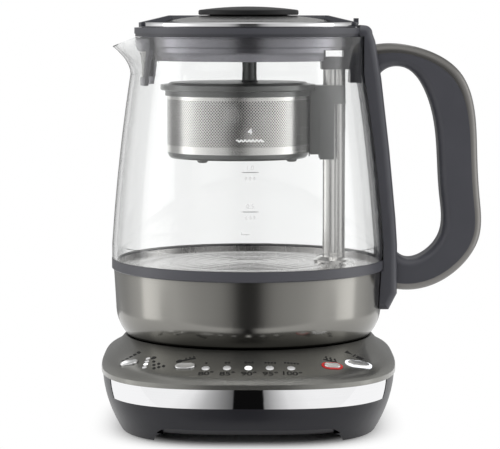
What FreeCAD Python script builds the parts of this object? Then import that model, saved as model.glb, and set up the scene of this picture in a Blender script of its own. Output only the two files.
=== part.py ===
import FreeCAD, Part
import Sketcher
import functools
import math
import os

from FreeCAD import Vector

# Automatic tea maker, in millimetres, +Z up.
# The origin is where the jug's upright axis meets the counter. The control panel faces -Y,
# the pouring spout points to -X and the handle is at +X.

DOC = FreeCAD.newDocument("TeaMaker")
SHEET = DOC.addObject("Spreadsheet::Sheet", "Sizes")


# ---------------------------------------------------------------- driving sizes

class Size:
    """A number together with the sheet expression that it comes from."""

    def __init__(self, value, text):
        self.value = value
        self.text = text

    def joined(self, other, sign, flipped=False):
        left, right = (other, self) if flipped else (self, other)
        a, b = float(left), float(right)
        value = {"+": a + b, "-": a - b, "*": a * b, "/": a / b if b else 0.0}[sign]
        return Size(value, f"({text_of(left)} {sign} {text_of(right)})")

    def __add__(self, other):
        return self.joined(other, "+")

    def __radd__(self, other):
        return self.joined(other, "+", True)

    def __sub__(self, other):
        return self.joined(other, "-")

    def __rsub__(self, other):
        return self.joined(other, "-", True)

    def __mul__(self, other):
        return self.joined(other, "*")

    def __rmul__(self, other):
        return self.joined(other, "*", True)

    def __truediv__(self, other):
        return self.joined(other, "/")

    def __neg__(self):
        return self.joined(-1, "*")

    def __float__(self):
        return float(self.value)


def text_of(size):
    return size.text if isinstance(size, Size) else repr(float(size))


LENGTHS = {
    # clearances
    "fit_gap": 0.3,
    "seat_gap": 0.1,
    "slide_gap": 0.08,
    # power base outline
    "base_half_width": 82.1,
    "base_front": 100.6,
    "base_rear": 88,
    "foot_bottom": 0.8,
    "waist_height": 11,
    "belt_height": 21.8,
    "housing_top": 32.7,
    "housing_wall": 2.6,
    "floor_bottom": 5.8,
    "floor_thickness": 2.5,
    "arch_half_width": 46,
    "side_arch_half_width": 36,
    "arch_radius": 5,
    "bevel_height": 3.4,
    "bevel_depth": 6,
    "bevel_corner": 8,
    # top panel
    "lip_height": 2.6,
    "lip_overhang": 0.7,
    "panel_wall": 2,
    "rim_width": 0.9,
    # chrome band
    "band_thickness": 2.2,
    "band_end": 64,
    "band_slot": 1.6,
    # seat dish
    "dish_gap": 0.2,
    "dish_thickness": 2.4,
    "dish_wall": 1.1,
    "dish_drop": 1.7,
    # power connector
    "connector_radius": 16.6,
    "connector_flange": 22,
    "connector_flange_thickness": 3,
    "connector_groove_inner": 8,
    "connector_groove_outer": 11,
    "connector_groove_depth": 9,
    "connector_pin_hole": 3,
    "contact_thickness": 0.6,
    # control board
    "board_thickness": 1.6,
    "board_margin": 6,
    "switch_size": 6,
    "switch_height": 4,
    "switch_head": 1.6,
    # push buttons
    "button_gap": 0.3,
    "button_proud": 0.9,
    "button_dish": 0.35,
    "button_dish_curve": 24,
    "button_depth": 4.5,
    "button_travel": 0.6,
    "button_stem": 1.6,
    "small_button_length": 10.4,
    "small_button_width": 5.8,
    "temperature_button_length": 11,
    "temperature_button_width": 6,
    "temperature_button_x": -34,
    "keep_warm_length": 9,
    "keep_warm_width": 5.4,
    "keep_warm_x": 45.1,
    "start_length": 12.6,
    "start_width": 6.6,
    "light_ring": 1.2,
    # indicator lights
    "light_pitch": 11.45,
    "light_radius": 2.15,
    "light_arc_drop": 0.8,
    "strength_light_pitch": 3.87,
    "strength_light_lean": 0.47,
    "strength_light_radius": 1.35,
    # feet, screws and gland
    "foot_pad_radius": 5.5,
    "foot_pad_height": 2,
    "boss_radius": 4.2,
    "boss_y": 34,
    "screw_radius": 1.5,
    "screw_head": 3.1,
    "screw_head_height": 1.4,
    "screw_length": 18,
    "gland_radius": 6.5,
    "gland_bore": 3.7,
    "gland_flange": 8.5,
    "gland_flange_thickness": 2,
    "gland_height": 19,
    "gland_length": 8,
    # jug metal shell
    "shell_curve": 24.5,
    "shell_wall": 1.2,
    # jug bottom
    "cover_thickness": 2.2,
    "cover_wall": 2,
    "cover_height": 9,
    "socket_bore": 16.9,
    "socket_radius": 24,
    "socket_wall": 2,
    "socket_blade": 9.5,
    "socket_blade_half": 0.9,
    "socket_pin": 2.2,
    "socket_gap": 0.1,
    # glass jug
    "ring_radius": 77.8,
    "ring_wall": 3.2,
    "gasket_height": 0.7,
    "gasket_width": 2.2,
    "glass_wall": 2.6,
    "neck_radius": 66.8,
    "glass_curve": 1100,
    "spout_reach": 12.4,
    # heating plate
    "plate_thickness": 1,
    "plate_slope": 3,
    "plate_rise": 1.2,
    "plate_gap": 0.15,
    "element_tube": 3.3,
    "terminal_length": 9,
    "terminal_radius": 2.4,
    "probe_radius": 3.4,
    "probe_length": 7,
    "probe_offset": 22,
    # handle strap
    "strap_half_width": 18,
    "strap_edge": 4,
    "strap_crown": 4.6,
    "strap_depth": 55,
    # handle grip
    "grip_half_width": 11,
    "grip_edge": 4.5,
    "gap_end_rise": 4,
    "trim_top": 5.4,
    "trim_side": 3.9,
    # handle screws
    "handle_screw_radius": 1.6,
    "handle_screw_head": 3,
    "handle_screw_head_height": 1.6,
    "handle_screw_length": 10,
    # guide post
    "post_radius": 4.45,
    "post_lobe_radius": 3.8,
    "post_bore": 3.3,
    "post_duct": 2,
    "post_foot_radius": 9.5,
    "post_foot_height": 3,
    "post_foot_step": 1.2,
    # post bracket
    "clamp_half_width": 8.5,
    # basket lift
    "slider_radius": 3.2,
    "slider_height": 14,
    "screw_bar_radius": 1.5,
    "motor_radius": 10,
    "motor_height": 16,
    "motor_shaft": 2,
    # basket carrier
    "carrier_half_width": 9,
    "block_half_width": 8,
    "cheek_half_width": 8.6,
    "cheek_wall": 2.4,
    "magnet_depth": 3,
    "magnet_height": 18,
    "magnet_half_width": 4.5,
    "hook_neck": 4,
    "hook_head": 7,
    "hook_depth": 2.2,
    "hook_neck_depth": 1.3,
    # tea basket
    "basket_x": -5.9,
    "basket_steel": 0.6,
    "floor_ring_width": 3.4,
    "screen_thickness": 0.6,
    "spoke_width": 2,
    "spoke_height": 1.6,
    "spoke_drop": 0.4,
    "nub_radius": 3,
    "nub_drop": 1.4,
    "lid_plate_bevel": 2.5,
    "stem_x": 0.6,
    "stem_radius": 4.1,
    "grip_disc_radius": 9,
    "grip_disc_height": 4,
    # lid
    "dome_flange": 1.6,
    "dome_rise": 4.4,
    "dome_sheet": 1,
    "band_wall": 1,
    "skirt_step_in": 1.2,
    "skirt_wall": 2.2,
    "post_notch": 11,
    "spout_notch": 22.5,
    "seal_height": 2.2,
    "knob_radius": 28.3,
    "knob_rim_width": 2.8,
    "bezel_width": 1,
    "bezel_rise": 1.2,
    "knob_hollow": 1.3,
    "knob_chamfer": 0.6,
    "knob_stem": 7,
    "knob_screw": 1.6,
    "knob_screw_head": 3.2,
    "knob_screw_head_height": 1.2,
    "tab_length": 2.4,
    "tab_half_width": 6,
    # spout filter
    "filter_wall": 1.8,
    "filter_half_top": 29.5,
    "filter_half_bottom": 22.3,
    "filter_border": 3.6,
    "filter_flange": 1.8,
    "filter_window": 4.5,
    "mesh_thickness": 0.4,
}

# From the side of the base towards +X.
FROM_SIDE = {
    "foot_half_width": -9.8,
    "waist_half_width": -4.8,
    "belt_half_width": -1.4,
    "start_x": -22.4,
    "foot_pad_x": -24.5,
    "boss_x": -44.1,
}

# From the side of the base towards -X.
FROM_LEFT = {
    "small_button_left": 17.2,
    "strength_light_x": 26.1,
}

# Reach towards the front, against that of the base.
FRONT_REACH = {
    "foot_front": -15.1,
    "waist_front": -7.8,
    "belt_front": -2.8,
    "foot_pad_front": -46.6,
}

# Places on the panel, from the front of the base.
FROM_FRONT = {
    "small_button_y": 36.3,
    "temperature_button_y": 17.9,
    "keep_warm_y": 21.7,
    "start_y": 31.2,
    "light_centre_y": 13.4,
    "strength_light_front": 24.7,
}

# Reach towards the rear, against that of the base.
FROM_REAR = {
    "foot_rear": -12,
    "waist_rear": -5.5,
    "belt_rear": -1.6,
    "foot_pad_rear": -38,
    "board_rear": -30,
}

# Heights above the top of the lower housing.
ABOVE_HOUSING = {
    "panel_top": 16.5,
    "dish_floor_top": 7.3,
    "dish_shoulder": 13.7,
    "board_bottom": -6.2,
}

# Heights above the floor of the seat dish, on which the jug stands.
ABOVE_SEAT = {
    "connector_top": 10,
    "jug_bottom": 0.3,
    "shell_bottom": 5,
    "shell_knee": 26,
    "socket_roof": 12.4,
    "ring_top": 52.6,
}

# Heights above the ring where the glass meets the metal shell.
ABOVE_RING = {
    "ring_bottom": -5.8,
    "plate_height": -3.6,
    "plate_rim": -1.2,
    "belly_height": 8.4,
    "rim_height": 125.4,
    "strap_middle_height": 61.1,
    "strap_lower_height": 23.4,
    "strap_outer_height": 8.4,
    "strap_knee_height": -19.1,
    "strap_bottom": -28.3,
    "grip_side_height": 59.4,
    "grip_back_height": 35.4,
    "grip_back_low": 12.4,
    "grip_low_height": -5.2,
    "grip_bottom": -17.6,
    "gap_side_low": 59.4,
    "gap_back_height": 35.4,
    "gap_back_low": 14.4,
    "gap_corner": 4.8,
    "gap_bottom": -0.1,
    "handle_screw_lower": -6,
    "motor_bottom": -26.6,
}

# Heights above the rim of the glass.
ABOVE_RIM = {
    "spout_tip": -6.4,
    "spout_start": -21,
    "collar_bottom": 1.7,
    "collar_top": 5.1,
    "strap_top": 6.4,
    "strap_shoulder_height": -2.5,
    "strap_upper_height": -23.4,
    "grip_top": -4.6,
    "grip_top_end": -6.7,
    "grip_corner_height": -18.6,
    "gap_top": -17,
    "gap_top_end": -18,
    "gap_side_height": -30.5,
    "handle_screw_upper": -12.6,
    "post_top": -12.5,
    "clamp_bottom": -18.4,
    "clamp_top": -11.4,
    "bracket_bottom": -7.7,
    "leg_bottom": -26,
    "bracket_top": 0,
    "slider_middle": -50,
    "screw_bar_top": -15,
    "arm_bottom": -37.8,
    "arm_top": -27.5,
    "block_bottom": -66.4,
    "cheek_bottom": -69.2,
    "magnet_bottom": -63,
    "hook_bottom": -30.8,
    "basket_rim_top": -27,
    "basket_rim_bottom": -30.2,
    "basket_step_bottom": -33.2,
    "basket_wall_top": -31,
    "basket_wall_bottom": -65,
    "floor_ring_bottom": -68.3,
    "lid_plate_bottom": -29.6,
    "lid_plate_edge": -27.4,
    "lid_plate_top": -25.7,
    "stem_top": -9,
    "lid_bottom": 5.4,
    "lid_edge": 7.9,
    "lid_shoulder": 11.9,
    "dome_edge": 7,
    "band_top": 8.1,
    "roof_bottom": 3.2,
    "skirt_step_one": -1,
    "skirt_step_two": -6,
    "skirt_step_three": -8.5,
    "skirt_bottom": -13.3,
    "seal_bottom": 1.2,
    "knob_under": 12.1,
    "knob_edge": 14.4,
    "knob_top": 16.9,
    "knob_bore_top": 15.4,
    "tab_top": 10.3,
    "filter_bottom": -27.4,
    "filter_top": -1.2,
    "filter_window_top": -8,
    "filter_waist": -7,
}

# Radii and reaches, against the ring.
OUTSIDE_RING = {
    "glass_belly": -0.2,
    "shell_top_radius": -1.1,
    "shell_knee_radius": -2.3,
    "cover_radius": -19.8,
    "seat_radius": -7.5,
    "dish_floor_radius": -16.6,
    "strap_middle": 1.5,
    "strap_lower": 5.1,
    "strap_outer": 6.1,
    "strap_toe": 1.4,
    "grip_corner_x": 40.4,
    "grip_side": 51.6,
    "grip_back": 53.1,
    "grip_low_x": 42.2,
    "gap_side_x": 22.4,
    "gap_side": 29.6,
    "gap_back": 31.2,
    "gap_corner_x": 24.7,
    "gap_bottom_x": 12,
    "element_radius": -27.8,
    "plate_step": -25.8,
}

# Radii and reaches, against the neck of the glass.
OUTSIDE_NECK = {
    "collar_radius": -2.3,
    "collar_inner": -3.6,
    "collar_lip": -2.8,
    "strap_head": 2.6,
    "strap_shoulder": 4.2,
    "strap_upper": 7.7,
    "gap_top_end_x": 22.7,
    "gap_top_x": 13.6,
    "grip_top_x": 31.2,
    "lid_radius": -4.8,
    "lid_shoulder_radius": -21.6,
    "dome_radius": -19.3,
    "band_outer": -6.2,
    "skirt_radius": -6.6,
    "skirt_foot_radius": -11.8,
    "spout_notch_reach": -20.7,
    "seal_radius": -3.9,
    "filter_radius": -5.5,
    "bracket_right": -3.1,
    "leg_left": -9.6,
    "post_x": -20.2,
    "basket_rim_radius": -22.9,
}

# Places along X, from the guide post.
FROM_POST = {
    "post_lobe_x": 4.6,
    "clamp_left": -5.6,
    "window_left": -3.2,
    "window_right": 6.8,
    "carrier_left": -11.7,
    "carrier_right": 7.8,
    "block_right": -4.6,
    "cheek_right": 1.6,
}

# Radii of the tea basket, against its rim.
BASKET_RADII = {
    "basket_step_radius": -2.5,
    "basket_radius": -3.7,
    "floor_ring_radius": -4.6,
    "lid_plate_radius": -3,
}

# Angles in degrees, and exponents of the squarish ovals (2 is a circle).
NUMBERS = {
    "base_squareness": 3.1,
    "seat_squareness": 2,
    "spout_half_angle": 13,
    "nub_angle": 57,
    "element_gap_angle": 40,
    "lid_front_angle": 150,
    "filter_angle": 66,
}


class SizeTable:
    """The driving sizes by name. Each one is a cell of the sheet with an alias."""

    def __init__(self):
        self.row = 0

    def add(self, sizes, base=0):
        """Put a group of sizes in the sheet; each one counts from the base."""
        for name, value in sizes.items():
            self.row += 1
            SHEET.set(f"A{self.row}", name.replace("_", " "))
            SHEET.set(f"B{self.row}", str(value))
            SHEET.setAlias(f"B{self.row}", name)
            size = Size(float(value), f"Sizes.{name}")
            setattr(self, name, size + base if isinstance(base, Size) else size)


S = SizeTable()
S.add(LENGTHS)
S.add(NUMBERS)
S.add(FROM_SIDE, S.base_half_width)
S.add(FROM_LEFT, -S.base_half_width)
S.add(FRONT_REACH, S.base_front)
S.add(FROM_FRONT, -S.base_front)
S.add(FROM_REAR, S.base_rear)
S.add(ABOVE_HOUSING, S.housing_top)
S.add(ABOVE_SEAT, S.dish_floor_top)
S.add(ABOVE_RING, S.ring_top)
S.add(ABOVE_RIM, S.rim_height)
S.add(OUTSIDE_RING, S.ring_radius)
S.add(OUTSIDE_NECK, S.neck_radius)
S.add(FROM_POST, S.post_x)
S.add(BASKET_RADII, S.basket_rim_radius)

DOC.recompute()


# ---------------------------------------------------------------- building helpers

PIECES = []


def piece(item, label):
    """Name a finished sub-part and put it on the list that is written out."""
    item.Label = label
    PIECES.append(item)
    return item


def bound(item, **sizes):
    """Bind properties of a document object to sizes; double underscores stand for dots."""
    for name, size in sizes.items():
        path = name.replace("__", ".")
        if isinstance(size, Size):
            item.setExpression(path, size.text)
        else:
            setattr(item, path, size)
    return item


def moved(item, x=0, y=0, z=0):
    """Place an object; each coordinate may be a size."""
    item.Placement.Base = Vector(float(x), float(y), float(z))
    for axis, size in (("x", x), ("y", y), ("z", z)):
        if isinstance(size, Size):
            item.setExpression(f".Placement.Base.{axis}", size.text)
    return item


def new_sketch(body, role):
    sketch = body.newObject("Sketcher::SketchObject", body.Name + "_outline")
    plane = [feature for feature in body.Origin.OriginFeatures if feature.Role == role][0]
    sketch.AttachmentSupport = [(plane, "")]
    sketch.MapMode = "FlatFace"
    return sketch


def bent_edge(start, end, radius):
    """Three-point arc from start to end; it bulges to the left of travel when radius is positive."""
    along = end - start
    left = Vector(-along.y, along.x, 0).normalize()
    reach = abs(radius)
    rise = reach - math.sqrt(max(reach ** 2 - along.Length ** 2 / 4, 0))
    middle = (start + end) * 0.5 + left * math.copysign(rise, radius)
    return Part.Arc(start, middle, end)


def draw(sketch, outline):
    """Draw a closed outline in a sketch and bind it to the sizes.

    The outline is a list of (x, y) points. A lone size between two points bends that edge
    into an arc of that radius, bulging left of travel when positive and right when negative.
    """
    points = [item for item in outline if isinstance(item, tuple)]
    bends = [None] * len(points)
    seen = -1
    for item in outline:
        if isinstance(item, tuple):
            seen += 1
        else:
            bends[seen] = item
    places = [Vector(float(x), float(y), 0) for x, y in points]
    ends = []
    for index, start in enumerate(places):
        end = places[(index + 1) % len(places)]
        bend = bends[index]
        shape = Part.LineSegment(start, end) if bend is None else bent_edge(start, end, float(bend))
        edge = sketch.addGeometry(shape, False)
        first = sketch.getPoint(edge, 1)
        ends.append((edge, 1, 2) if first.distanceToPoint(start) < 1e-6 else (edge, 2, 1))
    for index, (edge, head, tail) in enumerate(ends):
        after, after_head, _ = ends[(index + 1) % len(ends)]
        sketch.addConstraint(Sketcher.Constraint("Coincident", edge, tail, after, after_head))
    for (edge, head, tail), point, bend in zip(ends, points, bends):
        for kind, axis, size in (("DistanceX", -2, point[0]), ("DistanceY", -1, point[1])):
            if abs(float(size)) < 1e-9:
                sketch.addConstraint(Sketcher.Constraint("PointOnObject", edge, head, axis))
                continue
            row = sketch.addConstraint(Sketcher.Constraint(kind, -1, 1, edge, head, float(size)))
            if isinstance(size, Size):
                sketch.setExpression(f"Constraints[{row}]", size.text)
        if bend is not None:
            row = sketch.addConstraint(Sketcher.Constraint("Radius", edge, abs(float(bend))))
            if isinstance(bend, Size):
                sketch.setExpression(f"Constraints[{row}]", text_of(bend if float(bend) > 0 else -bend))
    return sketch


def turned(name, outline, angle=360, x=0, y=0):
    """Body of revolution about its own upright axis, from (radius, height) points."""
    body = DOC.addObject("PartDesign::Body", name)
    sketch = draw(new_sketch(body, "XZ_Plane"), outline)
    turn = body.newObject("PartDesign::Revolution", name + "_turn")
    turn.Profile = sketch
    turn.ReferenceAxis = (sketch, ["V_Axis"])
    turn.Angle = angle
    sketch.Visibility = False
    return moved(body, x, y)


def extruded(name, outline, role, length, edge_radius=None, z=0):
    """Body extruded to both sides of an origin plane, or upwards from XY, with rounded long edges."""
    body = DOC.addObject("PartDesign::Body", name)
    sketch = draw(new_sketch(body, role), outline)
    pad = body.newObject("PartDesign::Pad", name + "_pad")
    pad.Profile = sketch
    bound(pad, Length=length)
    pad.Midplane = role != "XY_Plane"
    if edge_radius is not None:
        DOC.recompute()
        fillet = body.newObject("PartDesign::Fillet", name + "_edges")
        fillet.Base = (pad, long_edges(pad.Shape))
        bound(fillet, Radius=edge_radius)
        body.Tip = fillet
    return moved(body, z=z)


def long_edges(shape):
    """Edges that lie in the two end faces of an XZ extrusion: its long outer corners."""
    names = []
    for index, edge in enumerate(shape.Edges, start=1):
        ends = {round(vertex.Point.y, 3) for vertex in edge.Vertexes}
        if len(ends) == 1:
            names.append(f"Edge{index}")
    return names


def cylinder(name, radius, height, x=0, y=0, z=0):
    item = DOC.addObject("Part::Cylinder", name)
    bound(item, Radius=radius, Height=height)
    return moved(item, x, y, z)


def box(name, length, width, height, x=0, y=0, z=0):
    item = DOC.addObject("Part::Box", name)
    bound(item, Length=length, Width=width, Height=height)
    return moved(item, x, y, z)


def joined(name, *items):
    item = DOC.addObject("Part::MultiFuse", name)
    item.Shapes = list(items)
    item.Refine = True
    return item


def cut(name, base, *tools):
    item = DOC.addObject("Part::Cut", name)
    item.Base = base
    item.Tool = tools[0] if len(tools) == 1 else joined(name + "_tools", *tools)
    return item


def shared(name, *items):
    item = DOC.addObject("Part::MultiCommon", name)
    item.Shapes = list(items)
    return item


def group(name, items):
    item = DOC.addObject("Part::Compound", name)
    item.Links = list(items)
    return item


def freeform(name, shape):
    item = DOC.addObject("Part::Feature", name)
    item.Shape = shape
    item.Placement = FreeCAD.Placement()
    return item


# ---------------------------------------------------------------- power base

def oval(half_width, front, rear, squareness, height, count=28):
    """Closed smooth outline on a superellipse: nearly straight sides and round corners."""
    power = 2 / float(squareness)
    points = []
    for step in range(count):
        angle = 2 * math.pi * step / count
        across = math.copysign(abs(math.cos(angle)) ** power, math.cos(angle))
        along = math.copysign(abs(math.sin(angle)) ** power, math.sin(angle))
        reach = rear if along > 0 else front
        points.append(Vector(float(half_width) * across, float(reach) * along, float(height)))
    curve = Part.BSplineCurve()
    curve.interpolate(Points=points, PeriodicFlag=True)
    return Part.Wire([curve.toShape()])


def base_oval(height, inset=0.0):
    """The housing's outline at the foot, waist, belt or top, moved inwards by inset."""
    rows = {
        "foot": (S.foot_half_width, S.foot_front, S.foot_rear, S.foot_bottom),
        "waist": (S.waist_half_width, S.waist_front, S.waist_rear, S.waist_height),
        "belt": (S.belt_half_width, S.belt_front, S.belt_rear, S.belt_height),
        "top": (S.base_half_width, S.base_front, S.base_rear, S.housing_top),
    }
    width, front, rear, level = (float(size) for size in rows[height])
    return oval(width - inset, front - inset, rear - inset, S.base_squareness, level)


def slab(shape, low, high):
    """The part of a shape between two heights."""
    reach = 4 * float(S.base_front)
    keeper = Part.makeBox(reach, reach, high - low, Vector(-reach / 2, -reach / 2, low))
    return shape.common(keeper)


def housing_solid(inset=0.0):
    sections = [base_oval(level, inset) for level in ("foot", "waist", "belt", "top")]
    return Part.makeLoft(sections, True, False)


def front_band_region(extra=0.0):
    """Block in front of the slanted ends of the chrome band."""
    reach = 2 * float(S.base_front)
    low = float(S.belt_height)
    high = float(S.housing_top)
    block = Part.makeBox(reach, reach, high - low, Vector(-reach / 2, -reach, low))
    block.translate(Vector(0, -float(S.band_end) + extra, 0))
    return block


def base_lower_housing():
    outer = housing_solid()
    inner = slab(housing_solid(float(S.housing_wall + S.band_thickness)),
                 float(S.floor_bottom + S.floor_thickness), float(S.housing_top) + 1)
    recess = outer.cut(housing_solid(float(S.band_thickness))).common(front_band_region(float(S.band_slot)))
    shell = outer.cut(inner).cut(recess)
    blank = freeform("housing_blank", shell)
    tools = [arch_bevel()]
    corner = S.arch_radius
    for name, half_width, length, turn in (("front_arch", S.arch_half_width, 4 * S.base_front, 90),
                                           ("side_arch", S.side_arch_half_width, 4 * S.base_half_width, 0)):
        tools.append(underside_arch(name, half_width + corner, S.floor_bottom, corner, length, turn))
    for index, (x, y) in enumerate(foot_places()):
        tools.append(cylinder(f"foot_recess_{index}", S.foot_pad_radius + S.seat_gap,
                              S.foot_pad_height, x, y))
    for index, (x, y) in enumerate(boss_places()):
        tools.append(cylinder(f"housing_screw_hole_{index}", S.screw_radius + S.seat_gap,
                              2 * S.floor_bottom, x, y))
        tools.append(cylinder(f"housing_screw_recess_{index}", S.screw_head + S.seat_gap,
                              S.floor_bottom + S.screw_head_height, x, y))
    tools.append(rod_along_y("gland_hole", S.gland_radius + S.seat_gap, 4 * S.gland_length,
                             S.base_rear - 2 * S.gland_length, S.gland_height))
    tools.append(rod_along_y("gland_seat", S.gland_flange + S.fit_gap, S.gland_length, S.belt_rear,
                             S.gland_height))
    return piece(cut("base_lower_housing", blank, *tools), "base_lower_housing")


def rod_along_y(name, radius, length, y, z):
    rod = cylinder(name, radius, length, 0, y, z)
    rod.Placement.Rotation = FreeCAD.Rotation(Vector(1, 0, 0), -90)
    return rod


def underside_arch(name, side, top, corner, length, turn):
    """Tunnel between two feet, with round upper corners."""
    low = -S.foot_bottom
    spring = top - corner
    outline = [(-side, low), (-side, spring), corner, (corner - side, top), (side - corner, top), corner,
               (side, spring), (side, low)]
    tunnel = extruded(name, outline, "XZ_Plane", length)
    tunnel.Placement.Rotation = FreeCAD.Rotation(Vector(0, 0, 1), turn - 90)
    return tunnel


def arch_bevel():
    """Cutter that slopes the front and rear edges of the arch down from the wall to the floor."""
    top = S.floor_bottom + S.bevel_height
    share = (top - S.foot_bottom) / (S.waist_height - S.foot_bottom)
    width, front, rear = (
        float(foot + (waist - foot) * share)
        for foot, waist in ((S.foot_half_width, S.waist_half_width), (S.foot_front, S.waist_front),
                            (S.foot_rear, S.waist_rear)))
    inset = float(S.bevel_depth)
    low = float(S.floor_bottom)
    kept = Part.makeLoft([
        oval(width - inset, front - inset, rear - inset, S.base_squareness, low),
        oval(width, front, rear, S.base_squareness, float(top))], True, True)
    tunnel = underside_arch("bevel_tunnel", S.arch_half_width + S.arch_radius, top, S.bevel_corner,
                            4 * S.base_front, 90)
    DOC.recompute()
    band = slab(tunnel.Shape, low, float(top))
    return cut("arch_bevel", freeform("bevel_band", band), freeform("bevel_kept", kept))


def foot_places():
    for x in (-S.foot_pad_x, S.foot_pad_x):
        yield x, -S.foot_pad_front
        yield x, S.foot_pad_rear


def boss_places():
    for x in (-S.boss_x, S.boss_x):
        yield x, -S.boss_y
        yield x, S.boss_y


def base_chrome_band():
    outer = housing_solid()
    inner = housing_solid(float(S.band_thickness - S.seat_gap))
    strip = outer.cut(inner).common(front_band_region())
    return piece(freeform("base_chrome_band", strip), "base_chrome_band")


# How far the panel has gone at each step from its lip to the seat: inwards at the sides and the
# rear, inwards at the front, and upwards.
PANEL_STEPS = ((0.0, 0.0, 0.0), (0.10, 0.18, 0.24), (0.45, 0.45, 0.5), (0.82, 0.76, 0.8), (1.0, 1.0, 1.0))


def panel_dome(inset=0.0):
    """Dome from the rounded-square lip to the round seat, moved inwards by inset."""
    lip_top = float(S.housing_top + S.lip_height)
    rise = float(S.panel_top) - lip_top
    lip = [float(S.base_half_width), float(S.base_rear), float(S.base_squareness)]
    seat = [float(S.seat_radius)] * 2 + [float(S.seat_squareness)]
    sections = []
    for side_share, front_share, climb in PANEL_STEPS:
        width, rear, square = (a + (b - a) * side_share for a, b in zip(lip, seat))
        front = float(S.base_front + (S.seat_radius - S.base_front) * front_share)
        grow = float(S.lip_overhang) * (1 - side_share) - inset
        level = lip_top + rise * climb - inset
        sections.append(oval(width + grow, front + grow, rear + grow, square, level))
    return Part.makeLoft(sections, True, False)


def panel_skirt(inset=0.0):
    """Upright lip under the dome, moved inwards by inset."""
    low = float(S.housing_top)
    high = low + float(S.lip_height) - inset
    grow = float(S.lip_overhang) - inset
    reaches = [size + grow for size in (S.base_half_width, S.base_front, S.base_rear)]
    walls = [oval(*reaches, S.base_squareness, level) for level in (low, high)]
    return Part.makeLoft(walls, True, True)


def panel_solid(inset=0.0):
    return panel_skirt(inset).fuse(panel_dome(inset))


@functools.lru_cache
def outer_dome():
    return panel_dome()


class PanelSpot:
    """A place on the panel's outer skin, with the frame of a control that sits square to it."""

    def __init__(self, x, y):
        foot = Vector(float(x), float(y), 0)
        probe = Part.makeLine(foot, foot + Vector(0, 0, float(2 * S.panel_top)))
        dome = outer_dome()
        self.point = max((vertex.Point for vertex in dome.common(probe).Vertexes), key=lambda point: point.z)
        skin = max(dome.Faces, key=lambda face: face.BoundBox.ZLength)
        u, v = skin.Surface.parameter(self.point)
        normal = skin.normalAt(u, v)
        self.normal = normal if normal.z > 0 else -normal
        sideways = Vector(1, 0, 0) - self.normal * self.normal.x
        sideways.normalize()
        self.sideways = sideways
        lean = math.atan2(-float(x), -float(y)) if float(y) < 0 else 0.0
        self.placement = FreeCAD.Placement(self.point, FreeCAD.Rotation(
            sideways, self.normal.cross(sideways), self.normal, "ZXY"))
        self.placement = self.placement * FreeCAD.Placement(
            Vector(), FreeCAD.Rotation(Vector(0, 0, 1), -math.degrees(lean) * 0.45))


def pill(length, width, depth, grow=0.0):
    """Upright prism with round ends, centred on the origin and standing on z = 0."""
    straight = max(float(length) - float(width), 0.1) / 2
    radius = float(width) / 2 + grow
    right = Part.makeCylinder(radius, float(depth), Vector(straight, 0, 0))
    left = Part.makeCylinder(radius, float(depth), Vector(-straight, 0, 0))
    middle = Part.makeBox(2 * straight, 2 * radius, float(depth), Vector(-straight, -radius, 0))
    return middle.fuse([left, right]).removeSplitter()


BUTTONS = {
    "strength_button": (S.small_button_left, S.small_button_y, S.small_button_length, S.small_button_width),
    "temperature_button": (S.temperature_button_x, S.temperature_button_y, S.temperature_button_length,
                           S.temperature_button_width),
    "keep_warm_button": (S.keep_warm_x, S.keep_warm_y, S.keep_warm_length, S.keep_warm_width),
    "start_button": (S.start_x, S.start_y, S.start_length, S.start_width),
}
RINGED = {"keep_warm_button": "keep_warm_ring", "start_button": "start_ring"}


def on_panel(shape, spot, sink=0.0):
    """Copy of a shape moved to a place on the panel, sunk along the panel's normal."""
    place = spot.placement * FreeCAD.Placement(Vector(0, 0, -sink), FreeCAD.Rotation())
    return shape.transformed(place.toMatrix(), True)


def button_hole(name):
    x, y, length, width = BUTTONS[name]
    grow = float(S.button_gap) + (float(S.light_ring) if name in RINGED else 0.0)
    depth = 3 * float(S.button_depth)
    return on_panel(pill(length, width, depth, grow), PanelSpot(x, y), depth / 2)


def base_top_panel():
    opening = Part.makeCylinder(float(S.seat_radius - S.rim_width), 2 * float(S.panel_top))
    shape = panel_solid().cut(panel_solid(float(S.panel_wall))).cut(opening)
    for name in BUTTONS:
        shape = shape.cut(button_hole(name))
    for hole in light_pipes(float(S.seat_gap)):
        shape = shape.cut(hole)
    return piece(freeform("base_top_panel", shape), "base_top_panel")


def push_button(name):
    """Cap with a dished top and a softened edge, on a thin stem that reaches down to its switch."""
    x, y, length, width = BUTTONS[name]
    spot = PanelSpot(x, y)
    cap = pill(length, width, S.button_depth)
    top_edges = [edge for edge in cap.Edges if edge.BoundBox.ZMin > float(S.button_depth) - 0.01]
    cap = cap.makeFillet(float(S.button_proud) * 0.5, top_edges)
    curve = float(S.button_dish_curve)
    cap = cap.cut(Part.makeSphere(curve, Vector(0, 0, float(S.button_depth - S.button_dish) + curve)))
    cap = on_panel(cap, spot, float(S.button_depth - S.button_proud))
    foot = switch_top(spot)
    top = spot.point - spot.normal * float(S.button_depth - S.button_proud)
    tilt = math.acos(spot.normal.z)
    corner_room = (float(S.fit_gap) + float(S.button_stem) * math.sin(tilt)) / spot.normal.z
    drop = (top - foot).Length - float(S.button_travel) - corner_room
    stem = Part.makeCylinder(float(S.button_stem), drop + 0.5, top + spot.normal * 0.5, -spot.normal)
    return piece(freeform(name, cap.fuse(stem).removeSplitter()), name)


def switch_top(spot):
    """Where a control's axis meets the plane of the switch heads."""
    level = float(S.board_bottom + S.board_thickness + S.switch_height + S.switch_head)
    return spot.point - spot.normal * ((spot.point.z - level) / spot.normal.z)


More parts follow.
